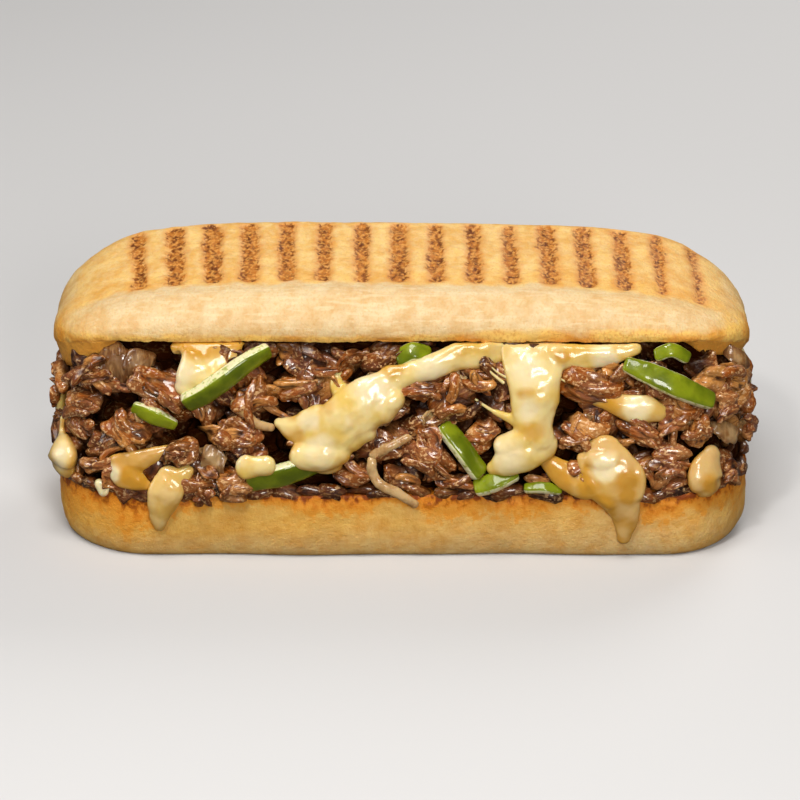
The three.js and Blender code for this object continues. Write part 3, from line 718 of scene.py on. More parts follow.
# %% Masks and relief of the upper half
def upper_masks(points, turn):
    """What the material has to know of the upper half. turn is that of the rings."""
    x, y, z = points.T
    wobble = 1.3 * rough(points, 2.2, 3, 5) + 0.8 * noise(points, (6, 9, 9), 8)
    under = (turn <= -1.2).astype(float)  # the cut face and the crumb's edge
    above = z - rim(x, y)
    rim_width = 1 + 2 * smooth(96, 114, np.abs(x)) + 0.7 * smooth(10, 40, x)
    front = y + 4 * rough(points, (6, 8, 6), 3, 2)
    ends = smooth(84, 112, np.abs(x))
    flat = smooth(50, 70, turn)  # where the hot grill touched
    baked = above / rim_width + 1.2 * rough(points, (5, 5, 2.2), 2, 6)
    return {
        "toast": flat * smooth(-17, -11, front) + 0.6 * ends,
        "stain": np.zeros(len(points)),
        "rim": smooth(3, 1.2, baked) * (1 - under),
        "crumb": under,
        "tan": (0.08 * ends + 0.3 * smooth(8, 1, above) + 0.15 * rough(points, 20)
                + 0.35 * smooth(7, 2, np.abs(front + 9)) + 0.35 * smooth(20, 90, x) * flat),
        "mark": mark_distance(points) + wobble,
    }


def upper_relief(places):
    """Dents, a ragged rim, and the grooves of the grill with their rough burnt bottoms."""
    groove = smooth(0.9, -0.9, mark_distance(places) + 0.8 * rough(places, 2.6, 3, 5))
    dents = 0.35 * rough(places, 9) + 0.16 * rough(places, (3.4, 2.6, 2.6), 3, 7)
    from_rim = np.abs(places[:, 2] - rim(*places[:, :2].T))
    ragged = 0.5 * rough(places, 2.0, 3, 3) * smooth(1.6, 0.2, from_rim)
    char = groove * (-0.7 + 0.3 * rough(places, (1.8, 3, 3), 2, 8))
    return dents + ragged + char


def make_upper():
    """The upper half of the roll."""
    along = stations(UPPER, SPACING)
    rings, turns = zip(*upper_rings(along))
    points, faces = loft(rings)
    masks = upper_masks(points, np.repeat(turns, len(along)))
    half = make_piece("roll_upper", points, faces, ["bread_upper"], masks)
    push(half, upper_relief)
    return half


roll_upper = make_upper()

# %% [markdown]
# ## What the crust looks like
# Colour goes on in layers, from the whole to the detail: pale dough, golden where the grill touched
# it, a browner rim, orange grease, and last the char with its lighter flecks. The masks say where,
# and the mottle group breaks every layer up, because no real edge on bread is clean.

# %% Layers of the crust
STAINS = (  # from where to where in the stain's mask, and the colour
    (0.0, 0.35, (232, 156, 52)), (0.35, 0.8, (220, 130, 26)), (0.65, 1.05, (124, 48, 5)))


def dough(tree, stroke, speck):
    """Pale sides, golden crown and all the spots on them."""
    cloud = mottle(tree, 9, 0.36, 0.64, 0.7)
    pale = mix(tree, cloud, colour(228, 202, 156), colour(221, 183, 128))
    # near-white streaks on the pale sides: paler dough, and partly painted highlights
    pale = tint(tree, pale, mottle(tree, 1.7, 0.5, 0.66, 5), 0.4, 244, 226, 186)
    gold = mix(tree, cloud, colour(245, 205, 129), colour(233, 180, 97))
    base = mix(tree, step(tree, mask(tree, "toast"), 0.05, 0.95), pale, gold)
    base = tint(tree, base, stroke, 0.25, 244, 220, 174)
    base = tint(tree, base, speck, 0.3, 222, 160, 80)
    return mix(tree, mask(tree, "tan"), base, (0.97, 0.79, 0.38, 1), "MULTIPLY")


def baked_rim(tree, speck):
    """The darker colour of the cut edge."""
    amber = mottle(tree, 16, 0.44, 0.58, 1.6)
    baked = mix(tree, amber, colour(252, 202, 100), colour(232, 154, 40))
    return tint(tree, baked, speck, 0.5, 206, 124, 46)


def greased(tree, base, stroke):
    """Grease over the base, darker the more of it has soaked in, with edges broken up by strokes."""
    uneven = reckon(tree, "MULTIPLY", reckon(tree, "SUBTRACT", stroke, 0.5), 0.35)
    stain = reckon(tree, "ADD", mask(tree, "stain"), uneven)
    stained = reckon(tree, "GREATER_THAN", mask(tree, "stain"), 0.001)
    for low, high, parts in STAINS:
        share = reckon(tree, "MULTIPLY", step(tree, stain, low, high), stained)
        base = tint(tree, base, share, 0.9, *parts)
    return base


def grilled(tree, base):
    """The grill marks over the base: a toasted halo, then char with lighter flecks."""
    base = tint(tree, base, step(tree, mask(tree, "mark"), 2.4, -0.2), 0.6, 220, 146, 72)
    charred = mix(tree, mottle(tree, 3.2, 0.34, 0.62, 0.6), colour(106, 50, 8), colour(192, 118, 44))
    fleck = mottle(tree, 1.7, 0.42, 0.68, 0.6)
    charred = tint(tree, charred, fleck, 0.8, 232, 164, 82)
    edge = reckon(tree, "ADD", mask(tree, "mark"), reckon(tree, "MULTIPLY", fleck, 0.9))
    return mix(tree, step(tree, edge, 0.8, -0.8), base, charred)


# %% Crust material
def crust_look(tree, shader):
    """Dough, baked rim, crumb, grease and char, laid over each other in that order."""
    stroke, speck = mottle(tree, 3.4, 0.4, 0.64, 0.7), mottle(tree, 1.1, 0.48, 0.7, 0.7)
    base = dough(tree, stroke, speck)
    base = mix(tree, reckon(tree, "MULTIPLY", mask(tree, "rim"), 0.85), base, baked_rim(tree, speck))
    base = mix(tree, mask(tree, "crumb"), base, colour(234, 166, 68))
    base = grilled(tree, greased(tree, base, stroke))
    relief = grained(tree, 0.6, 0.4, 0.16, under=grained(tree, 1.8, 0.2, 0.35))
    finish_shader(tree, shader, base, relief, Roughness=0.5, Specular_IOR_Level=0.25,
                  Subsurface_Weight=0.12, Subsurface_Radius=(1.0, 0.5, 0.2), Subsurface_Scale=1.5 * MM)


dress("crust", crust_look, [roll_lower, roll_upper])

# %% [markdown]
# ## The face of the filling
# Every piece of filling lies on one curved face between the halves, at a distance along the outline,
# a height, and a lift off the face. These are the same numbers as in the solids, so the fine piece
# comes to lie where the plain one was.

# %% Places on the filling
FACE_INSET = np.array([0.4, 0.4, 0, 0])  # how much smaller the face's outline is than the roll's


def on_face(along, height, lift=0.0):
    """Point on the filling's face, and the direction out of it."""
    share = 0.5  # of the way from the lower outline to the upper one, better with each round
    for _ in range(3):
        shape = (LOWER + (UPPER - LOWER) * share) - FACE_INSET
        x, y, nx, ny = outline(shape, along)
        bottom = lower_plane(x, y)
        share = float(np.clip((height - bottom) / (rim(x, y) - bottom), 0, 1))
    turned = min(max(1 - height / EDGE_HEIGHT, 0), 1)
    tuck = EDGE_INSET[1] * (1 - math.sqrt(1 - turned * turned)) if height < bottom else 0
    normal = Vector((nx, ny, 0 if height < bottom else 0.2)).normalized()
    return Vector((x + nx * (lift - tuck), y + ny * (lift - tuck), height)), normal


def lift_of(points):
    """How far points lie out of the filling's face, in millimetres."""
    x, y, z = points.T
    bottom = lower_plane(x, y)
    share = np.clip((z - bottom) / (rim(x, y) - bottom), 0, 1)[:, None]
    shape = LOWER + (UPPER - LOWER) * share
    past = np.abs(points[:, :2] - shape[:, 2:]) - shape[:, :2] + CORNER
    return np.hypot(*np.maximum(past, 0).T) + np.minimum(past.max(axis=1), 0) - CORNER


def out_of(points):
    """Directions out of the roll and somewhat up, at points near the filling's face."""
    upward = 0.8
    shape = (LOWER + UPPER) / 2
    away = points[:, :2] - shape[2:]
    past = np.sign(away) * np.maximum(np.abs(away) - shape[:2] + CORNER, 0.001)
    past /= np.linalg.norm(past, axis=1)[:, None]
    return np.column_stack([past, np.full(len(points), upward)]) / math.hypot(1, upward)


front_middle, _ = on_face(0, 45)
print("the face's middle in front, mm:", [round(part, 1) for part in front_middle])

# %% Gathering small shapes
STICKS_OUT = 4.5  # how far beef and onion may stand out of the face
RIM_GAP = 0.4  # what the filling keeps from the upper half's rim


def press(points):
    """Presses what sticks far out of the filling most of the way back."""
    over = np.maximum(lift_of(points) - STICKS_OUT, 0)
    return points - out_of(points) * (1, 1, 0) * over[:, None]


class Gather:
    """Collects many small shapes and their masks for one mesh."""

    def __init__(self):
        self.points, self.faces, self.masks, self.size = [], [], {}, 0

    def add(self, points, faces, **masks):
        """One more shape. A mask is one number for all its points, or one value for each."""
        self.points.append(points)
        self.faces.append(faces + self.size)
        self.size += len(points)
        for name, values in masks.items():
            values = np.asarray(values, dtype=float)
            each = values if values.ndim else np.full(len(points), values)
            self.masks.setdefault(name, []).append(each)

    def piece(self, name, slot, nodes):
        """All shapes as one piece. The mask "deep" is painted shade for points set back in the heap."""
        masks = {label: np.concatenate(values) for label, values in self.masks.items()}
        points = np.concatenate(self.points)
        if slot != "cheese":
            points = press(points)
        x, y, z = points.T
        z[:] = np.minimum(z, rim(x, y) - RIM_GAP)
        # painted shade right under the upper half's rim and along the lower cut face, added to the mask
        # "deep"
        shade = 0.9 * smooth(5, 1, rim(x, y) - z) + 0.5 * smooth(3, 0, z - lower_plane(x, y))
        masks["deep"] = np.clip(np.maximum(smooth(0.4, -3.2, lift_of(points)), shade), 0, 1)
        return make_piece(name, points, np.concatenate(self.faces), nodes, masks)


# %% [markdown]
# ## Torn pieces of beef
# Shaved beef is a tangle of torn slices: lumps, thin crumpled shavings and loose shreds. All are made
# by one function from a finely divided ball, because a ball's points are spread evenly. It is
# stretched to size with blunt ends, pulled out of true, covered in round bundles with narrow creases
# between them, and curled. The bundles are kept as a mask, which the material uses for painted shade
# in the creases and painted glints on the crests, and so is each point's place along the fibres.

# %% Balls
@functools.cache
def ball(level):
    """Points and triangles of a ball of radius 1, made once for each level of fineness."""
    shape = bmesh.new()
    bmesh.ops.create_icosphere(shape, subdivisions=level, radius=1)
    points = np.array([tuple(corner.co) for corner in shape.verts])
    faces = np.array([[corner.index for corner in face.verts] for face in shape.faces])
    shape.free()
    print("ball", level, "has", len(points), "points")
    return points, faces


# %% Torn shapes
def curled(body, reach, bends):
    """Curls a shape that is long in X, out of its plane and then in it, by the angle at its ends."""
    body, straight = body.copy(), 0.02
    for axis, bend in zip((2, 1), bends):
        radius = reach / (bend if abs(bend) > straight else straight)
        angle, arm = body[:, 0] / radius, radius + body[:, axis]
        body[:, 0], body[:, axis] = arm * np.sin(angle), arm * np.cos(angle) - radius
    return body


def torn(size, rng, level, fibre=0.6, grain=0.4, warp=0.25, wave=0.5, bends=(0.4, 0.3)):
    """A torn piece about the origin, long in X: points, faces, crests and place along the fibres.
    fibre and grain are the heights of bundles and of finer fibres, warp pulls the ball out of
    true, wave is the height of waves across a slice, and bends are the angles of its two curls."""
    unit, faces = ball(level)
    half = np.asarray(size) / 2
    seed = rng.uniform(0, 90, 3)
    blunt = np.sqrt((1 - np.abs(unit[:, 0]) ** 5) / np.maximum(1 - unit[:, 0] ** 2, 1e-6))
    body = np.sign(unit) * np.abs(unit) ** (1, 0.9, 0.7) * half
    body[:, 1:] *= blunt[:, None]
    pull = np.stack([noise(unit * 1.2 + seed + 17 * axis) for axis in range(3)], axis=1)
    body += 1.4 * warp * half * pull
    body[:, 2] += wave * rough(body * (1, 1, 0) + seed, 5, 2)
    out = unit / half
    out /= np.linalg.norm(out, axis=1)[:, None]
    thread = body + seed
    thread[:, 1:] += 1.2 * noise(thread, 5)[:, None]
    bundles = billows(thread, (12, 4.4, 4.4))
    grains = billows(thread, (6, 1.7, 1.7), 5)
    relief = fibre * bundles + grain * grains
    body += out * (relief + 0.12 * rough(thread, 1.3, 2, 9))[:, None]
    crest = 0.5 + 0.5 * relief / (fibre + grain)
    return curled(body, half[0], bends), faces, np.clip(crest, 0, 1), thread


sample, _, _, _ = torn((14, 9, 6), np.random.default_rng(0), 3)
print("a torn piece of 14 by 9 by 6 mm spans", np.ptp(sample, axis=0).round(1))

# %% Laying pieces on the face
def lay(points, along, height, lift, slant, rng, tilt=0.25):
    """Moves a shape onto the filling's face, turned by slant degrees and tilted a little."""
    place, normal = on_face(along, height, lift)
    side = Vector((-normal.y, normal.x, 0)).normalized()
    basis = Matrix((side, normal.cross(side), normal)).transposed()
    turn = Euler((rng.uniform(-tilt, tilt), rng.uniform(-tilt, tilt), math.radians(slant))).to_matrix()
    return points @ np.array((basis @ turn).transposed()) + np.array(place)


def add_torn(heap, place, size, rng, level, tone, slant, tilt=0.25, **shape):
    """Adds a torn piece to the heap, with its tone from 0, dark, to 1, light."""
    body, faces, crest, thread = torn(size, rng, level, **shape)
    tones = np.clip(tone + 0.35 * noise(thread, 6, 4), 0, 1)
    heap.add(lay(body, *place, slant, rng, tilt), faces, crest=crest, thread=thread, tone=tones)


# %% [markdown]
# ## The dark core of the heap
# Between the torn pieces one looks into dark pockets. Their floor is a core, set back from the face
# and rough all over, so that no hole shows right through the sandwich from any side.

# %% Core
CORE_INSET, CORE_OVERLAP = 8.0, 1  # it reaches into both halves by the overlap


def core_relief(places):
    """Lumps and bundles of fibres, but only above the lower cut face."""
    inner = smooth(0, 2, places[:, 2] - lower_plane(*places[:, :2].T))
    return inner * (2.0 * rough(places, 8) + 0.6 * billows(places, (5, 2.5, 2.5)))


def make_core():
    """The core of the heap, from in the lower half to in the upper half."""
    rings, along = [], stations(LOWER, 2.0)
    for share, pull in [(0, 1)] + [(share, 0) for share in np.linspace(0, 1, 20)] + [(1, 1)]:
        shape = LOWER + (UPPER - LOWER) * share
        level = between(lambda x, y: lower_plane(x, y) - CORE_OVERLAP,
                        lambda x, y: upper_plane(x, y) + CORE_OVERLAP, share)
        rings.append(ring(shape, along, (CORE_INSET, CORE_INSET), level, 0, pull))
    points, faces = loft(rings)
    # the darkest tone and a "deep" of 1 paint the whole core in shade, as the floor of the dark pockets
    masks = {"tone": np.zeros(len(points)), "crest": 0.3 + 0.3 * billows(points, 2.5),
             "thread": points, "deep": np.ones(len(points))}
    core = make_piece("beef_core", points, faces, ["beef_heap"], masks)
    push(core, core_relief)
    return core


beef_core = make_core()

# %% [markdown]
# ## The lumps that show in front
# The larger lumps lie where the solids have them: distance along the outline, height, lift, length,
# width, thickness and slant. Each is one torn lump, and further down it gets shreds that lie on it.
# Half of the lumps are bundles of fibres, and half are wavy slices.

# %% Larger lumps
BEEF_LUMPS = [
    (-88.1, 44.6, 1.6, 12, 10, 8, -30), (-78.4, 57.1, 1.2, 17, 10, 7.5, -20),
    (-103.6, 58.8, 0.6, 18, 6, 6, 12), (-105.6, 50.2, 0.8, 17, 8, 7, 18),
    (-97.8, 62, -1, 12, 6, 6, -10), (-47, 55.3, 0.6, 15, 10, 7, 35),
    (-32.8, 57.8, 0.6, 17, 9, 7, 14), (-28.2, 65.1, -0.4, 15, 9, 7, -25),
    (-52.4, 42.1, 0.6, 14, 12, 8, -40), (-72.4, 37.1, 1.2, 10, 8, 7, 20),
    (-54.9, 26.7, 1.2, 7, 9, 7, 0), (-15.9, 29.9, 0.2, 10, 6, 6, 10), (7, 57, 1, 19, 9, 7.5, -8),
    (16, 54.7, 0.8, 15, 10, 7.5, 20), (23.1, 62.1, 0.8, 15, 5, 5.5, -9),
    (26.2, 41.9, -0.6, 6, 10, 6, 0), (8.7, 35.5, 0.4, 20, 8, 6.5, -38),
    (60.3, 58.8, 0.6, 18, 10, 7.5, -10), (58.1, 44.2, 0.4, 15, 10, 7, -25),
    (75.7, 44.3, 1.4, 15, 7, 7, -30), (88.2, 48.1, 0.8, 10, 8, 7, 10), (95.3, 43, 0.6, 6, 10, 7, 0),
    (86.5, 33.6, 0, 10, 9, 7, -30), (106.6, 57.6, 0.8, 16, 8, 7, -35),
    (105.4, 49.4, 1.2, 8, 9, 7, 0), (119.4, 36.5, 0.6, 5, 9, 6, 0), (109.2, 26.1, 1.2, 5, 11, 6, 0),
    (-94.3, 39.4, -1.4, 13, 6, 6, 20), (57, 31.8, 1.6, 8, 7, 7, 0),
    (15.1, 27.7, -0.4, 13, 7, 6, -10), (-106.3, 41.5, -1.2, 11, 6, 6, -20),
    (-98.4, 31, 0.6, 10, 6, 6, 10), (-66, 26, -0.4, 12, 6, 6, 5),
]


def make_lumps(rng):
    """The larger lumps. Those to the right of the middle are lighter."""
    lumps = Gather()
    for along, height, lift, *size, slant in BEEF_LUMPS:
        level = 4 if size[0] > 9 else 3
        fibre, grain, wave = (1.1, 0.22, 0.6) if rng.random() < 0.5 else (0.5, 0.15, 2.0)
        tone = rng.uniform(0.3, 0.85) + 0.35 * (along > 50)
        bends = rng.uniform(0, 0.6), rng.uniform(-0.4, 0.4)
        add_torn(lumps, (along, height, lift - 1), np.array(size) * (0.95, 0.9, 0.8), rng, level, tone,
                 slant, fibre=fibre, grain=grain, warp=0.4, wave=wave, bends=bends)
    return lumps.piece("beef_lumps", "beef", ["beef_heap"])


beef_lumps = make_lumps(np.random.default_rng(5))

# %% [markdown]
# ## Filling the gaps
# Medium pieces fill the rest of the face all round, in two layers: deep ones in shade, and outer
# ones mixed with thin shavings and shreds. Their places are spread evenly and then shaken, which
# looks less like a pattern than a grid and less patchy than pure chance. Some places stay empty: they
# are the dark pockets, which give the heap its depth.

# %% Places and pockets
POCKETS = [  # distance along the outline, height, half length and half height
    (-74.4, 67.6, 2.3, 2.1), (-41.5, 61.2, 2.3, 2.1), (-106.2, 42.4, 2.7, 2.8), (-71.8, 43.5, 4, 2.4),
    (-41.2, 41.3, 2.3, 2.8), (-31.4, 27.6, 4.7, 1.7), (3.6, 65.1, 1.7, 1.7), (55, 55.4, 3, 2.8),
    (28.5, 40.6, 2.3, 2.1), (88.1, 65.3, 2.7, 1.4), (95.2, 35.4, 2.3, 3.1), (-91.7, 47.6, 3, 2.1),
    (-16.6, 27.6, 3.3, 1.4), (45.9, 44.8, 1.3, 2.4), (32.9, 23.7, 2.7, 1.4), (-98.6, 69.1, 10, 1.4),
    (121, 30, 1.7, 4.1), (25, 57.7, 2, 1.7), (-150, 44, 4, 3), (170, 36, 4, 3), (190, 45, 4, 2.5),
    (226, 44, 3, 2.5), (-222, 46, 4, 2.5), (-244, 33, 3, 2), (286, 42, 4, 3), (-300, 40, 4, 3),
]


def in_pocket(along, height):
    """Whether a piece there would fill a pocket."""
    return any(abs(along - middle) < length + 4.5 and abs(height - level) < thickness + 4
               for middle, level, length, thickness in POCKETS)


def spots(pitch, rows_pitch, rng, margin=2.0, pockets=True):
    """Shaken places over the face: distance along the outline, height, and 1 right under the rim."""
    around = perimeter(LOWER)
    for column in np.arange(-around / 2, around / 2, pitch):
        x, y, _, _ = outline(LOWER, column)
        bottom = float(lower_plane(x, y)) + margin
        above = outline(UPPER, column)[0]
        top = float(lip(above, y)) - margin
        room = float(rim(above, y) - hang(above)) - margin - bottom
        count = max(1, round(room / rows_pitch))
        for row in range(count):
            height = bottom + (top - bottom) * (row + rng.uniform(0.15, 0.85)) / count
            along = column + rng.uniform(-0.4, 0.4) * pitch
            if not (pockets and in_pocket(along, height)):
                yield along, height, smooth(7, 0, top + margin - height)


print(len(POCKETS), "pockets stay empty")

# %% Deep pieces and outer chunks
def make_deep(rng):
    """Plain pieces in the shade behind the others, in the pockets too."""
    deep = Gather()
    for along, height, under in spots(10, 9, rng, pockets=False):
        size = rng.uniform((11, 8, 6), (17, 11, 8))
        lift = rng.uniform(-8.5, -6.5) - 3 * under
        # dark tones and the mask "deep" paint these pieces in shade
        add_torn(deep, (along, height, lift), size, rng, 2, rng.uniform(0, 0.4), rng.normal(0, 30), 0.5)
    return deep.piece("beef_deep", "beef", ["beef_heap"])


def make_chunks(rng):
    """Chunks all round, finer in front, and lighter to the right of the middle."""
    chunks = Gather()
    for along, height, under in spots(12, 10, rng):
        size = rng.uniform((8, 6, 4.5), (14, 9, 6.5))
        fibre, grain, wave = (0.9, 0.2, 0.6) if rng.random() < 0.5 else (0.4, 0.15, 2.0)
        level = 4 if abs(along) < 115 else 3
        lift = rng.uniform(-4.5, -1.5) - 4 * under
        tone, slant = rng.uniform(0.1, 0.85) + 0.4 * (45 < along < 135), rng.normal(0, 35)
        bends = rng.uniform(-0.3, 0.8), rng.uniform(-0.5, 0.5)
        add_torn(chunks, (along, height, lift), size, rng, level, tone, slant, 0.4,
                 fibre=fibre, grain=grain, warp=0.45, wave=wave, bends=bends)
    return chunks.piece("beef_chunks", "beef", ["beef_heap"])


# %% Shavings and shreds
def end_inset(along, depth):
    """How much deeper thin pieces lie round the ends, so that they stay in the roll's outline."""
    return depth * (95 < abs(along) < 190)


def thin_tone(rng, darkest, along):
    """Tone of a thin piece: light ones too, and lighter to the right of the middle."""
    return rng.uniform(darkest, 1) + 0.15 * (40 < along < 135)


def make_shavings(rng):
    """Thin slices, strongly curled."""
    shavings = Gather()
    for along, height, under in spots(13, 12, rng):
        size = rng.uniform((9, 5, 1.6), (16, 9, 2.2))
        lift = rng.uniform(-2, -0.4) - 5 * under - end_inset(along, 2.2)
        tone, slant = thin_tone(rng, 0.3, along), rng.normal(0, 35)
        bends = rng.choice((-1, 1)) * rng.uniform(0.4, 1.1), rng.uniform(-0.4, 0.4)
        add_torn(shavings, (along, height, lift), size, rng, 3, tone, slant, 0.6,
                 fibre=0.35, grain=0.2, warp=0.4, wave=1.5, bends=bends)
    return shavings.piece("beef_shavings", "beef", ["beef_heap"])


def make_shreds(rng):
    """Loose shreds: two on each lump, more all round, and short ones along the lower cut edge."""
    shreds = Gather()
    for along, height, lift, length, _, thickness, slant in BEEF_LUMPS:
        for _ in range(2):
            place = along + rng.uniform(-3, 3), height + rng.uniform(-3.5, 3.5), lift + thickness * 0.25
            size = rng.uniform((6, 2.2, 2), (length * 0.6 + 6, 3.6, 3))
            tone, turned = rng.uniform(0.4, 1), slant + rng.normal(0, 25)
            bends = rng.uniform(0, 0.8), rng.uniform(-0.8, 0.8)
            add_torn(shreds, place, size, rng, 3, tone, turned, fibre=0.3, grain=0.3, bends=bends)
    for along, height, under in spots(11, 11, rng, 1.0):
        size = rng.uniform((7, 2, 1.8), (14, 3.6, 3))
        level = 2 if abs(along) > 125 else 3
        lift = rng.uniform(-1.4, 0.4) - 5 * under - end_inset(along, 2)
        tone, slant = thin_tone(rng, 0.2, along), rng.normal(0, 40)
        bends = rng.uniform(-0.2, 0.8), rng.uniform(-0.8, 0.8)
        add_torn(shreds, (along, height, lift), size, rng, level, tone, slant, 0.3,
                 fibre=0.3, grain=0.3, bends=bends)
    for along, _, _ in spots(8, 60, rng, 0.3, pockets=False):
        bottom = float(lower_plane(*outline(LOWER, along)[:2]))
        size = rng.uniform((8, 3, 2.6), (13, 5, 4))
        place = along, bottom + rng.uniform(0.3, 2), rng.uniform(-2, -0.6)
        add_torn(shreds, place, size, rng, 2, rng.uniform(0, 0.7), rng.normal(0, 12), 0.2, grain=0.3)
    return shreds.piece("beef_shreds", "beef", ["beef_heap"])


beef_deep = make_deep(np.random.default_rng(6))
beef_chunks = make_chunks(np.random.default_rng(16))
beef_shavings = make_shavings(np.random.default_rng(7))
beef_shreds = make_shreds(np.random.default_rng(8))

# %% [markdown]
# ## What the beef looks like
# Fried beef runs from grey brown over orange brown to nearly black, and it is wet with fat, which
# is what makes it look like meat: a rough brown body under a clear, shiny coat, with a relief fine
# enough to break the shine into small glints. Each torn piece has its own tone; its creases get
# painted shade, its crests pale flecks as painted glints, and what lies deep is painted dark.

# %% Beef material
BEEF_TONES = ((0, (32, 10, 2)), (0.2, (70, 28, 5)), (0.45, (114, 58, 14)), (0.62, (146, 86, 38)),
              (0.8, (156, 78, 10)), (1, (208, 142, 70)))


def tones_of(tree):
    """The colour that belongs to a piece's tone."""
    ramp = node(tree, "ValToRGB", {"Fac": mask(tree, "tone")})
    while len(ramp.color_ramp.elements) < len(BEEF_TONES):
        ramp.color_ramp.elements.new(0.5)
    for element, (place, parts) in zip(ramp.color_ramp.elements, BEEF_TONES):
        element.position, element.color = place, colour(*parts)
    return ramp.outputs["Color"]


def beef_look(tree, shader, wetness=1.0):
    """Tones, rusty and rosy patches, fibres, and painted glints on crests and shade in creases and deep.
    """
    crest = mask(tree, "crest")
    fine = effect(tree, "fibres", Length=4, Width=0.9)
    # painted glints: pale, fat-coloured flecks on the crests stand in for small highlights
    fat_and_glints = reckon(tree, "MULTIPLY", mottle(tree, 0.9, 0.54, 0.62, 1.4), step(tree, crest, 0.45, 0.9))
    base = tint(tree, tones_of(tree), mottle(tree, 5, 0.5, 0.68), 0.6, 150, 74, 8)
    base = tint(tree, base, mottle(tree, 12, 0.45, 0.6), 0.5, 138, 80, 52)
    base = tint(tree, base, step(tree, fine, 0.52, 0.66), 0.4, 222, 164, 96)
    base = tint(tree, base, step(tree, fine, 0.47, 0.34), 0.6, 66, 26, 4)
    base = tint(tree, base, fat_and_glints, 0.75, 236, 190, 134)
    # painted shade in the creases of every piece
    base = tint(tree, base, step(tree, crest, 0.55, 0.1), 0.9, 40, 13, 2)
    # painted shade: nearly black where the mask "deep" is high
    base = tint(tree, base, mask(tree, "deep"), 0.92, 32, 9, 1)
    shine = reckon(tree, "SUBTRACT", 1, reckon(tree, "MULTIPLY", mask(tree, "deep"), 0.9))
    tree.links.new(reckon(tree, "MULTIPLY", shine, wetness), shader["Coat Weight"])
    relief = grained(tree, 1.6, 0.3, 0.25, under=bump(tree, fine, 0.35))
    finish_shader(tree, shader, base, relief, Roughness=0.4, Specular_IOR_Level=0.22 * wetness,
                  Coat_Roughness=0.13)


def shaded_look(tree, shader):
    """The same meat without any shine, for what lies deep in the heap."""
    beef_look(tree, shader, wetness=0.0)


dress("beef", beef_look, [beef_lumps, beef_chunks, beef_shavings, beef_shreds])
# beef_shaded: the same meat without shine, for the core and the deep pieces that are painted in shade
dress("beef_shaded", shaded_look, [beef_core, beef_deep])

# %% [markdown]
# ## Strands
# Pepper strips, onion, cheese and its strings are all strands: a smooth curve through rows of
# places, with a width and a thickness at each row. Blender's curve objects could do it, but their
# round bevel can't be flat, turned and differently wide along the way, so the section is swept here.

# %% A curve through rows
def through(rows, steps):
    """A smooth curve through rows of numbers, whose first three are a place. Its speed at each row
    depends on how far apart the rows are, so it makes no loops between close ones."""
    rows = np.concatenate([[2 * rows[0] - rows[1]], rows, [2 * rows[-1] - rows[-2]]])
    gaps = np.linalg.norm(np.diff(rows[:, :3], axis=0), axis=1) ** 0.5
    found = []
    for k in range(1, len(rows) - 2):
        before, here, after = gaps[k - 1:k + 2]
        a, b, c, d = rows[k - 1:k + 3]
        leave = ((b - a) / before - (c - a) / (before + here) + (c - b) / here) * here
        arrive = ((c - b) / here - (d - b) / (here + after) + (d - c) / after) * here
        for t in np.arange(steps + (k == len(rows) - 3)) / steps:
            found.append(b + leave * t + (3 * (c - b) - 2 * leave - arrive) * t ** 2
                         + (2 * (b - c) + leave + arrive) * t ** 3)
    return np.array(found)


# %% Sweeping a section along the curve
ROUND_CAP = [(math.sin(turn), math.cos(turn)) for turn in np.radians((25, 50, 72, 90))]
BLUNT_CAP = [(0.4, 0.96), (1.0, 0.84), (1.3, 0.6), (1.35, 0)]  # how far past the end, and how large


def strand(rows, sides, steps=8, squareness=1.0, roll=0.0, blunt=False):
    """Points, faces and turn round the section of a strand along rows of (along, height, half width,
    half thickness, lift). The section is an ellipse, or squarer. Blunt ends look cut."""
    placed = [(*on_face(a, h, lift)[0], width, thick, a, h) for a, h, width, thick, lift in rows]
    path = through(np.array(placed), steps)
    ways = np.gradient(path[:, :3], axis=0)
    cap = BLUNT_CAP if blunt else ROUND_CAP
    stops = [(path[0], ways[0], -reach, size) for reach, size in reversed(cap)]
    stops += [(row, way, 0, 1) for row, way in zip(path, ways)]
    stops += [(path[-1], ways[-1], reach, size) for reach, size in cap]
    turn = (np.arange(sides) + 0.5) / sides * 2 * math.pi
    bulge = np.stack([np.cos(turn), np.sin(turn)])
    bulge = np.sign(bulge) * np.abs(bulge) ** squareness
    rings, spin = [], math.radians(roll)
    for row, way, reach, size in stops:
        tangent = Vector(way).normalized()
        half_width, half_thickness, along, height = row[3:]
        across = on_face(along, height)[1].cross(tangent).normalized()
        up = tangent.cross(across)
        wide = across * math.cos(spin) + up * math.sin(spin)
        deep = up * math.cos(spin) - across * math.sin(spin)
        stretch = 1 if blunt else 0.9 * min(half_width, 2 * half_thickness)
        centre = row[:3] + np.array(tangent) * reach * stretch
        section = bulge * size
        rings.append(centre + np.outer(section[0] * half_width, wide)
                     + np.outer(section[1] * half_thickness, deep))
    points, faces = loft(rings)
    return points, faces, np.tile(turn, len(rings))


print("rings at a round end:", len(ROUND_CAP), "and at a cut one:", len(BLUNT_CAP))

# %% [markdown]
# ## Green pepper
# A strip of pepper is a cut bar of the fruit's wall: one wide side is the glossy skin, dark green,
# and the others are pale wet flesh. The section is a rounded bar, and the turn round it says which
# side a point is on. Each strip has its roll in degrees, then rows of distance along the outline,
# height, half width, half thickness and lift. Cheese and onion strips further down have such rows too.

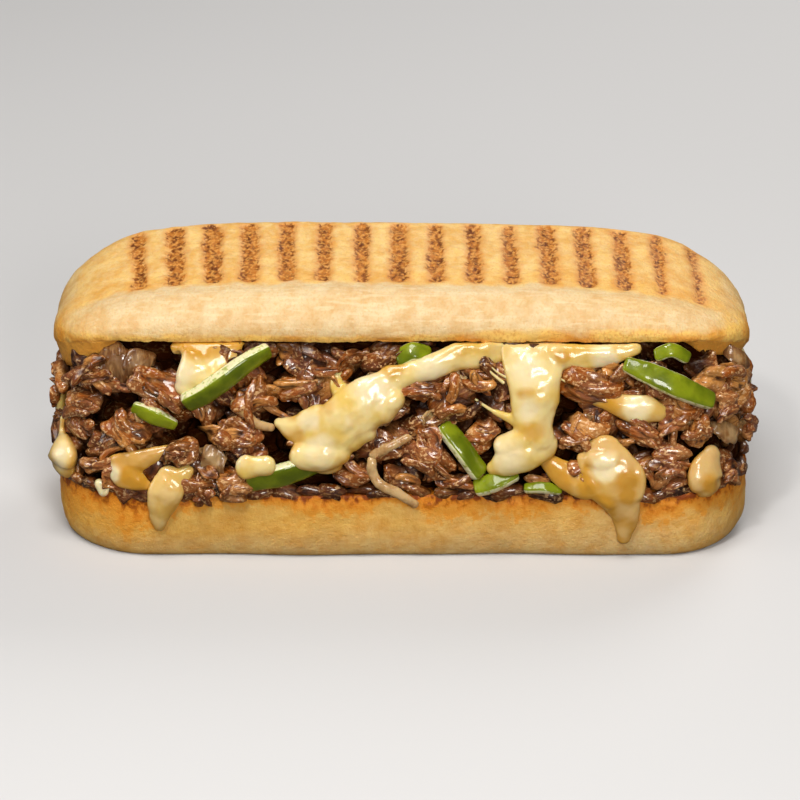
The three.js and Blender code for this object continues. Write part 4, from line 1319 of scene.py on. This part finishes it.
# %% Pepper strips
PEPPER_STRIPS = {
    "front_left": (32, [
        (-68.7, 54.5, 3.4, 2.3, 3.4), (-63.1, 57.7, 3.6, 2.4, 4.2), (-56.6, 62.2, 3.6, 2.4, 4.4),
        (-49.8, 66.6, 3.4, 2.3, 2.6), (-43.5, 69.4, 2.6, 2, 0.2)]),
    "tip_left": (20, [
        (-85.6, 51.5, 2.2, 1.5, 0.8), (-79.8, 49.3, 2.9, 1.8, 2), (-73.9, 46.2, 2, 1.5, 0.4)]),
    "low_left": (30, [
        (-49.1, 28.5, 3.6, 2.1, 2.2), (-39.3, 30.8, 4.1, 2.2, 3), (-28, 33.8, 3.8, 2.1, 1)]),
    "centre": (-40, [
        (13.7, 45.2, 3.2, 2, 0.5), (19.3, 38.6, 3.4, 2.1, 2.2), (24.4, 31, 3.2, 2, 1.4)]),
    "low_centre": (-40, [
        (24.1, 26.4, 3.1, 1.9, 1.8), (29.9, 28.3, 3.2, 2, 2.2), (35.5, 30.2, 3, 1.9, 0.5)]),
    "top_centre": (-30, [
        (-0.6, 67.1, 2.8, 1.9, -0.2), (3.6, 69.2, 3, 1.9, 0.2), (7.8, 68.1, 2.6, 1.8, -0.8)]),
    "front_right": (-22, [
        (72.4, 66.2, 2.6, 1.9, 3), (78.7, 64, 3.5, 2.3, 4), (87.2, 60.1, 3.9, 2.4, 4.4),
        (98.1, 53.1, 3.1, 2.1, 3)]),
    "curl_right": (-20, [
        (82.1, 68.8, 2.2, 1.5, 1), (86.4, 70.2, 2.4, 1.5, 1.4), (91.1, 67.3, 2.1, 1.4, 0.5)]),
    "low_right": (-40, [
        (40.2, 25.9, 1.6, 1.4, 1.4), (45.4, 26.3, 1.9, 1.5, 2), (49.9, 24.9, 1.5, 1.3, 1.2)]),
    "left_end": (0, [
        (-137, 39, 4, 2.2, -2.8), (-148, 42, 4.2, 2.2, -2), (-160, 40, 3.8, 2.1, -2)]),
    "back_left": (-35, [
        (-236, 37, 4, 2.2, 1.2), (-249, 40.5, 4.2, 2.2, 2), (-262, 42, 3.9, 2.1, 0.6)]),
    "back_right": (-30, [
        (206, 42, 3.8, 2.2, 0.8), (220, 38, 4.1, 2.2, 2.2), (233, 35, 3.8, 2.1, 1)]),
}


def make_pepper(name, roll, rows):
    """A strip with a mask that is 1 on its skin side, and a slightly wavy surface."""
    points, faces, turn = strand(rows, sides=36, steps=14, squareness=0.62, roll=roll, blunt=True)
    masks = {"skin": smooth(0.35, 0.6, np.sin(turn))}
    piece = make_piece("green_" + name, points, faces, ["pepper_" + name], masks)
    push(piece, lambda places: 0.3 * rough(places, 6) + 0.12 * rough(places, 1.6))
    return piece


peppers = [make_pepper(name, roll, rows) for name, (roll, rows) in PEPPER_STRIPS.items()]

# %% Pepper material
def pepper_look(tree, shader):
    """Green skin, paler where it meets the flesh, and flesh with small wet blotches."""
    skin = mix(tree, mottle(tree, 9, 0.3, 0.7), colour(90, 104, 3), colour(140, 152, 22))
    skin = mix(tree, step(tree, mask(tree, "skin"), 1.0, 0.6), skin, colour(158, 172, 66))
    flesh = mix(tree, mottle(tree, 1.6, 0.35, 0.5), colour(170, 178, 92), colour(230, 228, 182))
    base = mix(tree, step(tree, mask(tree, "skin"), 0.3, 0.7), flesh, skin)
    finish_shader(tree, shader, base, grained(tree, 1.8, 0.1, 0.15), Roughness=0.3,
                  Specular_IOR_Level=0.2, Subsurface_Weight=0.2, Subsurface_Radius=(0.5, 1.0, 0.2),
                  Subsurface_Scale=1.2 * MM, Coat_Weight=0.7, Coat_Roughness=0.08)


dress("pepper", pepper_look, peppers)

# %% [markdown]
# ## Melted cheese
# Melted cheese has no edges: where two runs meet they become one, and it hangs in lobes and drips.
# Strands for the runs are joined by a voxel remesh, the same way clay would be pressed together,
# then smoothed and given slow bulges. Light goes into cheese and comes out again, so its material
# has subsurface scattering. A golden tint lies on some pieces and places, and as painted shade where
# the cheese faces down or sideways and right under the upper rim; pale spots are painted highlights.

# %% Cheese shapes
CHEESE_RUNS = {
    "top_left": [
        [(-62.4, 70.5, 12.2, 2.4, -1.8), (-62.4, 67.4, 9.8, 2.8, 0), (-64.7, 64.6, 7.8, 3, 1.4),
         (-67.3, 61.7, 5.8, 2.8, 2.2), (-69.3, 58.7, 3.6, 2.4, 2)],
    ],
    "centre": [
        [(-26.4, 36, 7.6, 2.8, 2.4), (-25, 41, 8.4, 3.6, 3.4), (-20.7, 46.3, 8.8, 4, 3.8),
         (-14.2, 52, 8.8, 3.8, 3.6), (-8.4, 56.7, 7.8, 3.4, 3), (-3.9, 60.6, 5, 2.8, 2)],
        [(-24.9, 43.8, 6.5, 3, 2.6), (-32, 44.9, 5.4, 2.8, 2.2), (-37.1, 46, 3.6, 2.4, 1.4),
         (-39.7, 46.7, 2, 1.8, 0.8)],
        [(-3.8, 60.9, 5, 2.8, 2), (1.9, 62.6, 4, 2.4, 1.8), (10, 65.3, 4.2, 2.4, 1.6),
         (16.4, 67.2, 4.6, 2.3, 1), (22.5, 69, 5.6, 2.2, 0), (28, 70.8, 7, 2, -1.2),
         (33, 71.6, 7, 1.8, -2)],
        [(-20.5, 62.9, 1.8, 1.5, 0.4), (-21.2, 59.4, 2.6, 1.8, 1.2), (-18.4, 55.4, 4.4, 2.4, 2),
         (-19.6, 50.2, 7, 3, 2.4)],
        [(-32.4, 37.2, 4.6, 3.6, 3.4), (-26, 37.8, 5.4, 4.2, 3.8), (-20.2, 38.6, 4.4, 3.4, 3.4)],
        [(-16.8, 42.3, 4.4, 3.4, 3.2), (-12, 44.9, 4, 3, 3)],
        [(-6.6, 51.4, 4.4, 3.2, 3.2), (-3, 55.8, 4, 3, 3)],
        [(-38, 46.2, 2.6, 2, 1.6), (-32.4, 46.2, 5, 2.8, 2.4), (-26.4, 48.6, 5.4, 3, 2.8)],
    ],
    "right": [
        [(41.8, 70.6, 10.5, 2.4, -0.6), (42.1, 66.5, 10, 3, 0.9), (42.5, 61.6, 9, 3.3, 2.8),
         (42.5, 56.8, 8, 3.4, 3.4), (42, 51.5, 7.2, 3.2, 3.2), (42, 45.9, 6.3, 3, 3),
         (42.7, 42.1, 6.6, 3, 3)],
        [(45.7, 40.6, 5, 2.6, 2.4), (37.7, 37, 5.8, 3, 3.2), (31.9, 33.9, 4.5, 2.6, 2.6),
         (29, 32.5, 2.8, 2, 1.8)],
        [(49.1, 67.9, 4.6, 2.4, 1), (53.6, 67.9, 4.2, 2.4, 1), (60, 67.9, 4.2, 2.2, 1),
         (66.1, 68.4, 3.8, 2, 0.8), (75.1, 70.3, 2.2, 1.6, 0)],
        [(40, 48, 4, 2, 2.4), (34.8, 48.9, 1.8, 1.3, 2.6), (30.7, 50.6, 1, 0.9, 2.6),
         (27.5, 51.8, 0.8, 0.8, 2.2)],
        [(33, 39.6, 4.2, 3, 2.4), (38, 41.6, 4.6, 3.2, 3)],
    ],
    "pocket": [
        [(61.6, 54.1, 2.2, 1.6, 0.4), (66.1, 53.6, 3.2, 2, 1), (71.8, 52.2, 4.4, 2.2, 1.6),
         (78, 51.4, 4.8, 2, 1.7), (82.4, 50, 3.2, 1.8, 1.2)],
    ],
    "low_right": [
        [(64.2, 39.6, 6, 1.9, 1.8), (64.8, 37, 8, 2.4, 2.6), (65.9, 33.2, 9, 2.6, 3.2),
         (67.8, 28.6, 9.4, 2.6, 3.4), (69.8, 24, 7.4, 2.4, 2.8), (71.5, 19.2, 5.4, 2.2, 1.9),
         (71.8, 14.6, 4.5, 2, 1.4), (71.6, 10.3, 3, 1.8, 1.1), (71.3, 7.8, 2.1, 1.6, 0.9)],
        [(45.4, 35.1, 2.2, 1.4, 0.6), (49.2, 32.4, 3.8, 1.5, 1.2), (53.4, 29.4, 4.6, 1.8, 1.8),
         (59.5, 27, 5, 2.2, 2.4)],
        [(60.6, 35.6, 3.4, 2, 3.6), (64.6, 35.4, 4.2, 2.2, 4), (68.6, 34.8, 3.4, 2, 3.6)],
        [(57.4, 36.5, 1.6, 1.3, 2.2), (59.6, 31.6, 2.2, 1.6, 3.8), (62.6, 26, 2.2, 1.5, 4.2),
         (66.6, 21.6, 1.8, 1.4, 3.6)],
        [(72, 36.4, 1.8, 1.3, 2.4), (75.4, 31.4, 2.4, 1.7, 3.4), (76, 26, 2, 1.4, 3.2),
         (73.4, 20.6, 1.6, 1.3, 2.4)],
    ],
    "low_left": [
        [(-69.6, 31.6, 2.2, 1.5, 1.2), (-72.6, 28.6, 4.2, 1.8, 1.8), (-75.6, 25, 5, 2.2, 2)],
        [(-75, 29.8, 4.6, 2, 1.4), (-76.4, 25.7, 6.2, 2.5, 2.3), (-77.8, 20.6, 5.2, 2.2, 1.8),
         (-79, 14.9, 3.1, 1.8, 1.2), (-79.1, 11.9, 2, 1.6, 1)],
    ],
    "drop_left": [
        [(-116.4, 41, 1.2, 1, 0.6), (-117.2, 36.4, 1.3, 1.2, 0.9), (-115.4, 33.4, 4.6, 2.8, 1.5),
         (-114.2, 29.6, 7.2, 3.9, 2.3), (-114.5, 27.4, 6, 3.3, 1.9)],
    ],
    "drop_small": [
        [(-50.4, 34.3, 3.9, 1.9, 5.4), (-44, 35.1, 3.7, 1.9, 5.8)],
    ],
    "drop_right": [
        [(100.2, 34.4, 3.6, 2, 0.8), (98.3, 31.4, 5.8, 2.8, 1.4), (97.2, 28, 6.4, 3.2, 1.8),
         (98.3, 25.4, 5, 2.8, 1.4)],
    ],
    "fold_left": [
        [(-93.5, 33, 3.2, 1.6, 1.2), (-90, 30.8, 5, 2, 2), (-86, 28.4, 4, 1.8, 1.8),
         (-82.6, 26.6, 2, 1.4, 1)],
        [(-92, 33.4, 3.6, 1.7, 1.4), (-86, 34.6, 3.8, 1.8, 2), (-80.5, 36.6, 3, 1.6, 1.5),
         (-76, 38, 1.8, 1.4, 0.8)],
    ],
    "chip_left": [
        [(-98.4, 25.6, 1.7, 1.4, 1.3), (-96.8, 23.2, 2, 1.4, 1.4)],
        [(-95.4, 25.4, 1.1, 1, 1.1), (-97, 24.2, 1.6, 1.3, 1.5)],
    ],
    "right_end": [
        [(146, 51, 6, 2.2, -2.6), (145, 46, 6, 2.8, -1), (144, 39, 4.4, 2.6, -0.4),
         (144, 33, 3, 2.2, -0.4)],
    ],
    "left_end": [
        [(-128, 48, 4, 2, -2.8), (-127, 41, 4.4, 2.4, -1.8), (-126, 34, 3, 2, -1.4)],
    ],
    "back_right": [
        [(262, 50, 8, 2.2, -0.8), (259, 44.5, 7.4, 2.8, 1.2), (257, 37.5, 5.4, 2.8, 2),
         (256, 30.5, 3.6, 2.4, 1.8)],
        [(258, 45, 3, 2, 0.8), (247, 46, 2.6, 1.8, 1), (238, 48, 2, 1.6, 0)],
    ],
    "back_left": [
        [(-208, 51, 7, 2.2, -0.8), (-207, 45.5, 6, 2.6, 1), (-205, 39, 4, 2.4, 1.8),
         (-204, 33, 3, 2.2, 1.6)],
    ],
}
print(len(CHEESE_RUNS), "pieces of cheese from", sum(map(len, CHEESE_RUNS.values())), "runs")

# %% Golden and dull cheese, with painted highlights and shade
GOLDEN = {"fold_left": 0.7, "low_left": 0.15, "low_right": 0.25, "drop_right": 0.1, "pocket": 0.2}
DULL = {"low_right": 0.45, "drop_right": 0.5, "drop_left": 0.3, "low_left": 0.3, "fold_left": 0.6,
        "pocket": 0.3}  # both say how much of a whole piece looks so
SPOT_LIFT = 4  # spots lie this far out of the face, where the cheese has its surface
GOLD_SPOTS = [  # distance along the outline, height and radius of places where the cheese is golden
    (-35, 51.8, 4), (-23.8, 53.1, 3.5), (-3.5, 66.5, 5), (-34.3, 44, 4), (-19.6, 34.7, 5), (40, 57.5, 4),
    (41.9, 46.3, 5), (51.6, 68.7, 3), (65.7, 54, 5), (72, 30, 5), (59.2, 28.5, 5), (63.4, 21.6, 5),
    (50.5, 32.4, 8), (-86.5, 30.5, 4), (97.6, 26.4, 4), (60, 34, 2.5), (72.5, 25, 3)]
HIGHLIGHT_SPOTS = [  # and of places painted pale as broad highlights on the lobes
    (-29.7, 48.6, 4), (-17.2, 49.5, 4), (-10.3, 58.5, 7), (-26.3, 39.2, 6), (40, 65.5, 6), (41, 52.7, 5),
    (34.5, 38, 6), (9, 65.5, 6), (65.7, 68.4, 5), (75.3, 52.7, 5), (65, 34, 5),
    (-71.7, 63.9, 6), (-112, 31, 4), (-51.5, 35.7, 4), (-97, 24.2, 5), (-93, 31, 3.5)]


def near_spots(points, spots):
    """1 in the middle of the nearest spot, 0 at its edge and outside."""
    found, shaken = np.zeros(len(points)), 2.5 * rough(points, 5, 2, 1)
    for along, height, radius in spots:
        middle = np.array(on_face(along, height, SPOT_LIFT)[0])
        far = np.linalg.norm(points - middle, axis=1) + shaken
        found = np.maximum(found, smooth(1.3 * radius, 0.4 * radius, far))
    return found


print(len(GOLD_SPOTS), "golden spots and", len(HIGHLIGHT_SPOTS), "creamy ones")

# %% Melting the cheese
VOXEL, ROUNDS = 0.5, 5  # size of the remesh in millimetres, and how often it is smoothed


def melt(piece, voxel, rounds):
    """Joins overlapping shapes of a piece into one smooth skin."""
    remesh = piece.modifiers.new("join", "REMESH")
    remesh.mode, remesh.voxel_size, remesh.use_smooth_shade = "VOXEL", voxel * MM, True
    soften = piece.modifiers.new("soften", "SMOOTH")
    soften.factor, soften.iterations = 0.5, rounds
    graph = bpy.context.evaluated_depsgraph_get()
    skin = bpy.data.meshes.new_from_object(piece.evaluated_get(graph))
    piece.modifiers.clear()
    piece.data = skin
    skin.shade_smooth()


# %% Cheese pieces
def colour_cheese(name, mesh):
    """Stores where the cheese is golden or painted in shade, painted highlights, and dull places."""
    places, normals = points_of(mesh)
    facing = (normals * out_of(places)).sum(axis=1) + 0.3 * rough(places, 4)
    # painted shade right under the upper half's rim
    rim_shade = smooth(66, 70, places[:, 2]) * (1 if name == "top_left" else 0.35)
    # painted shade where the surface faces down or sideways, away from the lamps
    facing_shade = np.maximum(0.75 * smooth(0.85, 0.2, facing), rim_shade)
    gold = facing_shade + GOLDEN.get(name, 0) + 0.8 * near_spots(places, GOLD_SPOTS)
    cream = near_spots(places, HIGHLIGHT_SPOTS)
    dull = DULL.get(name, 0) * (1 + 0.6 * rough(places, 6)) - 0.7 * cream
    store(mesh, "thin", np.clip(gold - cream, 0, 1))
    store(mesh, "cream", cream)
    store(mesh, "dull", np.clip(dull, 0, 1))


def make_cheese(name, runs):
    """A piece of melted cheese, from the strands of its runs."""
    gather = Gather()
    for rows in runs:
        gather.add(*strand(rows, sides=20)[:2])
    piece = gather.piece("melted_" + name, "cheese", ["cheese_" + name])
    melt(piece, VOXEL, ROUNDS)
    push(piece, lambda places: 0.7 * rough(places, 7, 2) + 0.2 * rough(places, 2.6, 2, 4))
    colour_cheese(name, piece.data)
    print(name, len(piece.data.polygons), "faces after melting")
    return piece


cheeses = [make_cheese(name, runs) for name, runs in CHEESE_RUNS.items()]

# %% Strings
STRINGS = [
    [(23.6, 54.2, 0.4, 0.4, 0.8), (27.5, 52, 0.55, 0.55, 2), (31, 50.4, 0.7, 0.7, 2.6),
     (35.5, 48.8, 1.2, 1, 3)],
    [(24.6, 67, 0.3, 0.3, 0), (28.2, 63.6, 0.4, 0.4, 1.8), (32.4, 60.4, 0.6, 0.5, 2.6)],
    [(27.4, 66.2, 0.25, 0.25, 0.6), (30, 63.8, 0.3, 0.3, 1.8), (33.4, 62, 0.4, 0.4, 2.6)],
    [(50.5, 61.8, 0.4, 0.4, 2.8), (53.8, 59.6, 0.3, 0.3, 1.6), (56.4, 58.8, 0.4, 0.4, 1.6)],
]


def make_strings():
    """Strings that were pulled from the cheese."""
    strings = Gather()
    for rows in STRINGS:
        strings.add(*strand(rows, sides=10)[:2], thin=0.2, cream=0.3, dull=0)
    return strings.piece("melted_strings", "cheese", ["cheese_right"])


cheeses.append(make_strings())

# %% Cheese material
def cheese_look(tree, shader):
    """Pale and golden clouds, painted highlights, dull places, and gold that is partly painted shade."""
    base = mix(tree, mottle(tree, 11, 0.42, 0.66), colour(237, 214, 148), colour(228, 194, 100))
    # painted highlights: pale cream where the lobes would shine
    base = mix(tree, mask(tree, "cream"), base, colour(241, 223, 178))
    base = mix(tree, mask(tree, "dull"), base, colour(206, 156, 98))
    # gold: golden places, and painted shade where the cheese faces down or sideways and under the rim
    base = tint(tree, base, mask(tree, "thin"), 0.85, 204, 144, 22)
    base = tint(tree, base, mottle(tree, 6, 0.62, 0.8), 0.25, 206, 138, 40)
    finish_shader(tree, shader, base, grained(tree, 4, 0.1, 0.12), Roughness=0.35,
                  Specular_IOR_Level=0.2, Subsurface_Weight=0.4, Subsurface_Radius=(1.0, 0.6, 0.25),
                  Subsurface_Scale=2.5 * MM, Coat_Weight=0.9, Coat_Roughness=0.14)


dress("cheese", cheese_look, cheeses)

# %% [markdown]
# ## Onion
# Fried onion is soft, brown at its edges and half clear. It lies as bent strips, as torn leaves, made
# like the beef but thinner and smoother, and as small bits all over the filling.

# %% Onion strips
ONION_STRIPS = {
    "bent_upper": [
        (1.7, 42.4, 1.4, 0.9, 1.8), (-4, 40, 1.5, 1, 2.8), (-9.5, 37.2, 1.5, 0.9, 2.6)],
    "bent_lower": [
        (-10, 35.4, 1.4, 1, 2.4), (-10, 31.7, 1.7, 1, 2.6), (-7.8, 28, 1.7, 1, 2.6),
        (-1.9, 24.5, 1.6, 1, 2), (3.6, 20.3, 1.4, 0.9, 1.4)],
    "left": [
        (-53.7, 53.5, 1.4, 1, 1.8), (-50.2, 50.2, 1.6, 1, 2.6), (-46.7, 47, 1.6, 1, 2.4),
        (-42.3, 45.2, 1.3, 0.9, 0.8)],
    "back": [
        (-176, 35, 2, 1, 1.2), (-188, 38, 2.2, 1.1, 1.8), (-199, 35.5, 1.8, 1, 1)],
}
ONION_LEAVES = {  # along, height, lift, length, width, thickness, slant and how brown
    "petal_left": (-92.6, 64.2, -0.6, 12.5, 9, 2.2, -62, 0.9),
    "petal_inner": (-84.4, 65, -0.8, 11.5, 9, 2.2, 64, 0.8),
    "flake_left": (-61.4, 35.2, 1.4, 9.5, 6.4, 1.8, 68, 0.4),
    "flake_right": (107, 39.6, 1.4, 12.5, 5.8, 1.8, -48, 0.4),
    "right_end": (112.4, 61.8, 0.6, 10.5, 4.4, 1.6, -60, 0.5),
}


# %% Onion pieces
def make_onion(name, rows):
    """A bent strip with a wavy surface."""
    points, faces, _ = strand(rows, sides=14)
    masks = {"fried": np.full(len(points), 0.1)}
    piece = make_piece("soft_onion_" + name, points, faces, ["onion_" + name], masks)
    push(piece, lambda places: 0.45 * rough(places, 3.5) + 0.12 * rough(places, 1))
    return piece


def make_leaf(name, row, rng):
    """A torn leaf of onion: thin, wavy and ragged, browned at its edge."""
    along, height, lift, *size, slant, fried = row
    body, faces, _, _ = torn(size, rng, 4, fibre=0.15, grain=0.1, warp=0.35, wave=1.4, bends=(0.7, 0.3))
    edge = smooth(0.5, 0.95, np.hypot(body[:, 0] / size[0], body[:, 1] / size[1]) * 2)
    points = lay(body, along, height, lift, slant, rng)
    masks = {"fried": np.clip(fried + 0.4 * edge, 0, 1)}
    return make_piece("soft_onion_" + name, points, faces, ["onion_" + name], masks)


def make_onion_bits(rng):
    """Small curled bits all round, some of them fried brown."""
    bits = Gather()
    for along, height, under in spots(20, 15, rng):
        size = rng.uniform((4, 2.2, 0.9), (9, 4, 1.2))
        bends = rng.uniform(-1, 1, 2)
        body, faces, _, _ = torn(size, rng, 3, fibre=0.15, grain=0.15, warp=0.7, wave=1.8, bends=bends)
        place = along, height, rng.uniform(-1.4, 0.4) - 5 * under
        bits.add(lay(body, *place, rng.normal(0, 40), rng, 0.7), faces, fried=rng.uniform(0.1, 0.8))
    return bits.piece("soft_onion_bits", "onion", ["beef_heap"])


onions = [make_onion(name, rows) for name, rows in ONION_STRIPS.items()]
leaf_rng = np.random.default_rng(12)
onions += [make_leaf(name, row, leaf_rng) for name, row in ONION_LEAVES.items()]
onions.append(make_onion_bits(np.random.default_rng(9)))

# %% Onion material
def onion_look(tree, shader):
    """Glassy brown clouds, dark fried places and pale streaks along a strip."""
    base = mix(tree, mottle(tree, 4, 0.4, 0.7), colour(212, 178, 126), colour(168, 120, 66))
    base = tint(tree, base, mask(tree, "fried"), 0.95, 96, 54, 20)
    base = tint(tree, base, mottle(tree, 4, 0.45, 0.7, 0.25), 0.3, 220, 176, 116)
    finish_shader(tree, shader, base, grained(tree, 1.2, 0.1, 0.15), Roughness=0.35,
                  Specular_IOR_Level=0.2, Subsurface_Weight=0.4, Subsurface_Radius=(1.0, 0.6, 0.3),
                  Subsurface_Scale=1.5 * MM, Coat_Weight=0.6, Coat_Roughness=0.1)


dress("onion", onion_look, onions)

# %% [markdown]
# ## Last look at the sizes
# The food has to fill the same box as the solids. Both boxes are printed.

# %% Sizes and finish
visual_bounds = [list(corner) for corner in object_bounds()]
print("food from", visual_bounds[0], "to", visual_bounds[1])
meshes = [piece for piece in bpy.data.objects if piece.type == "MESH" and not piece.hide_render]
triangles = {piece.name: sum(len(face.vertices) - 2 for face in piece.data.polygons)
             for piece in meshes}
largest = sorted(triangles, key=triangles.get)[-8:]
print(sum(triangles.values()), "triangles, most of them in", largest)
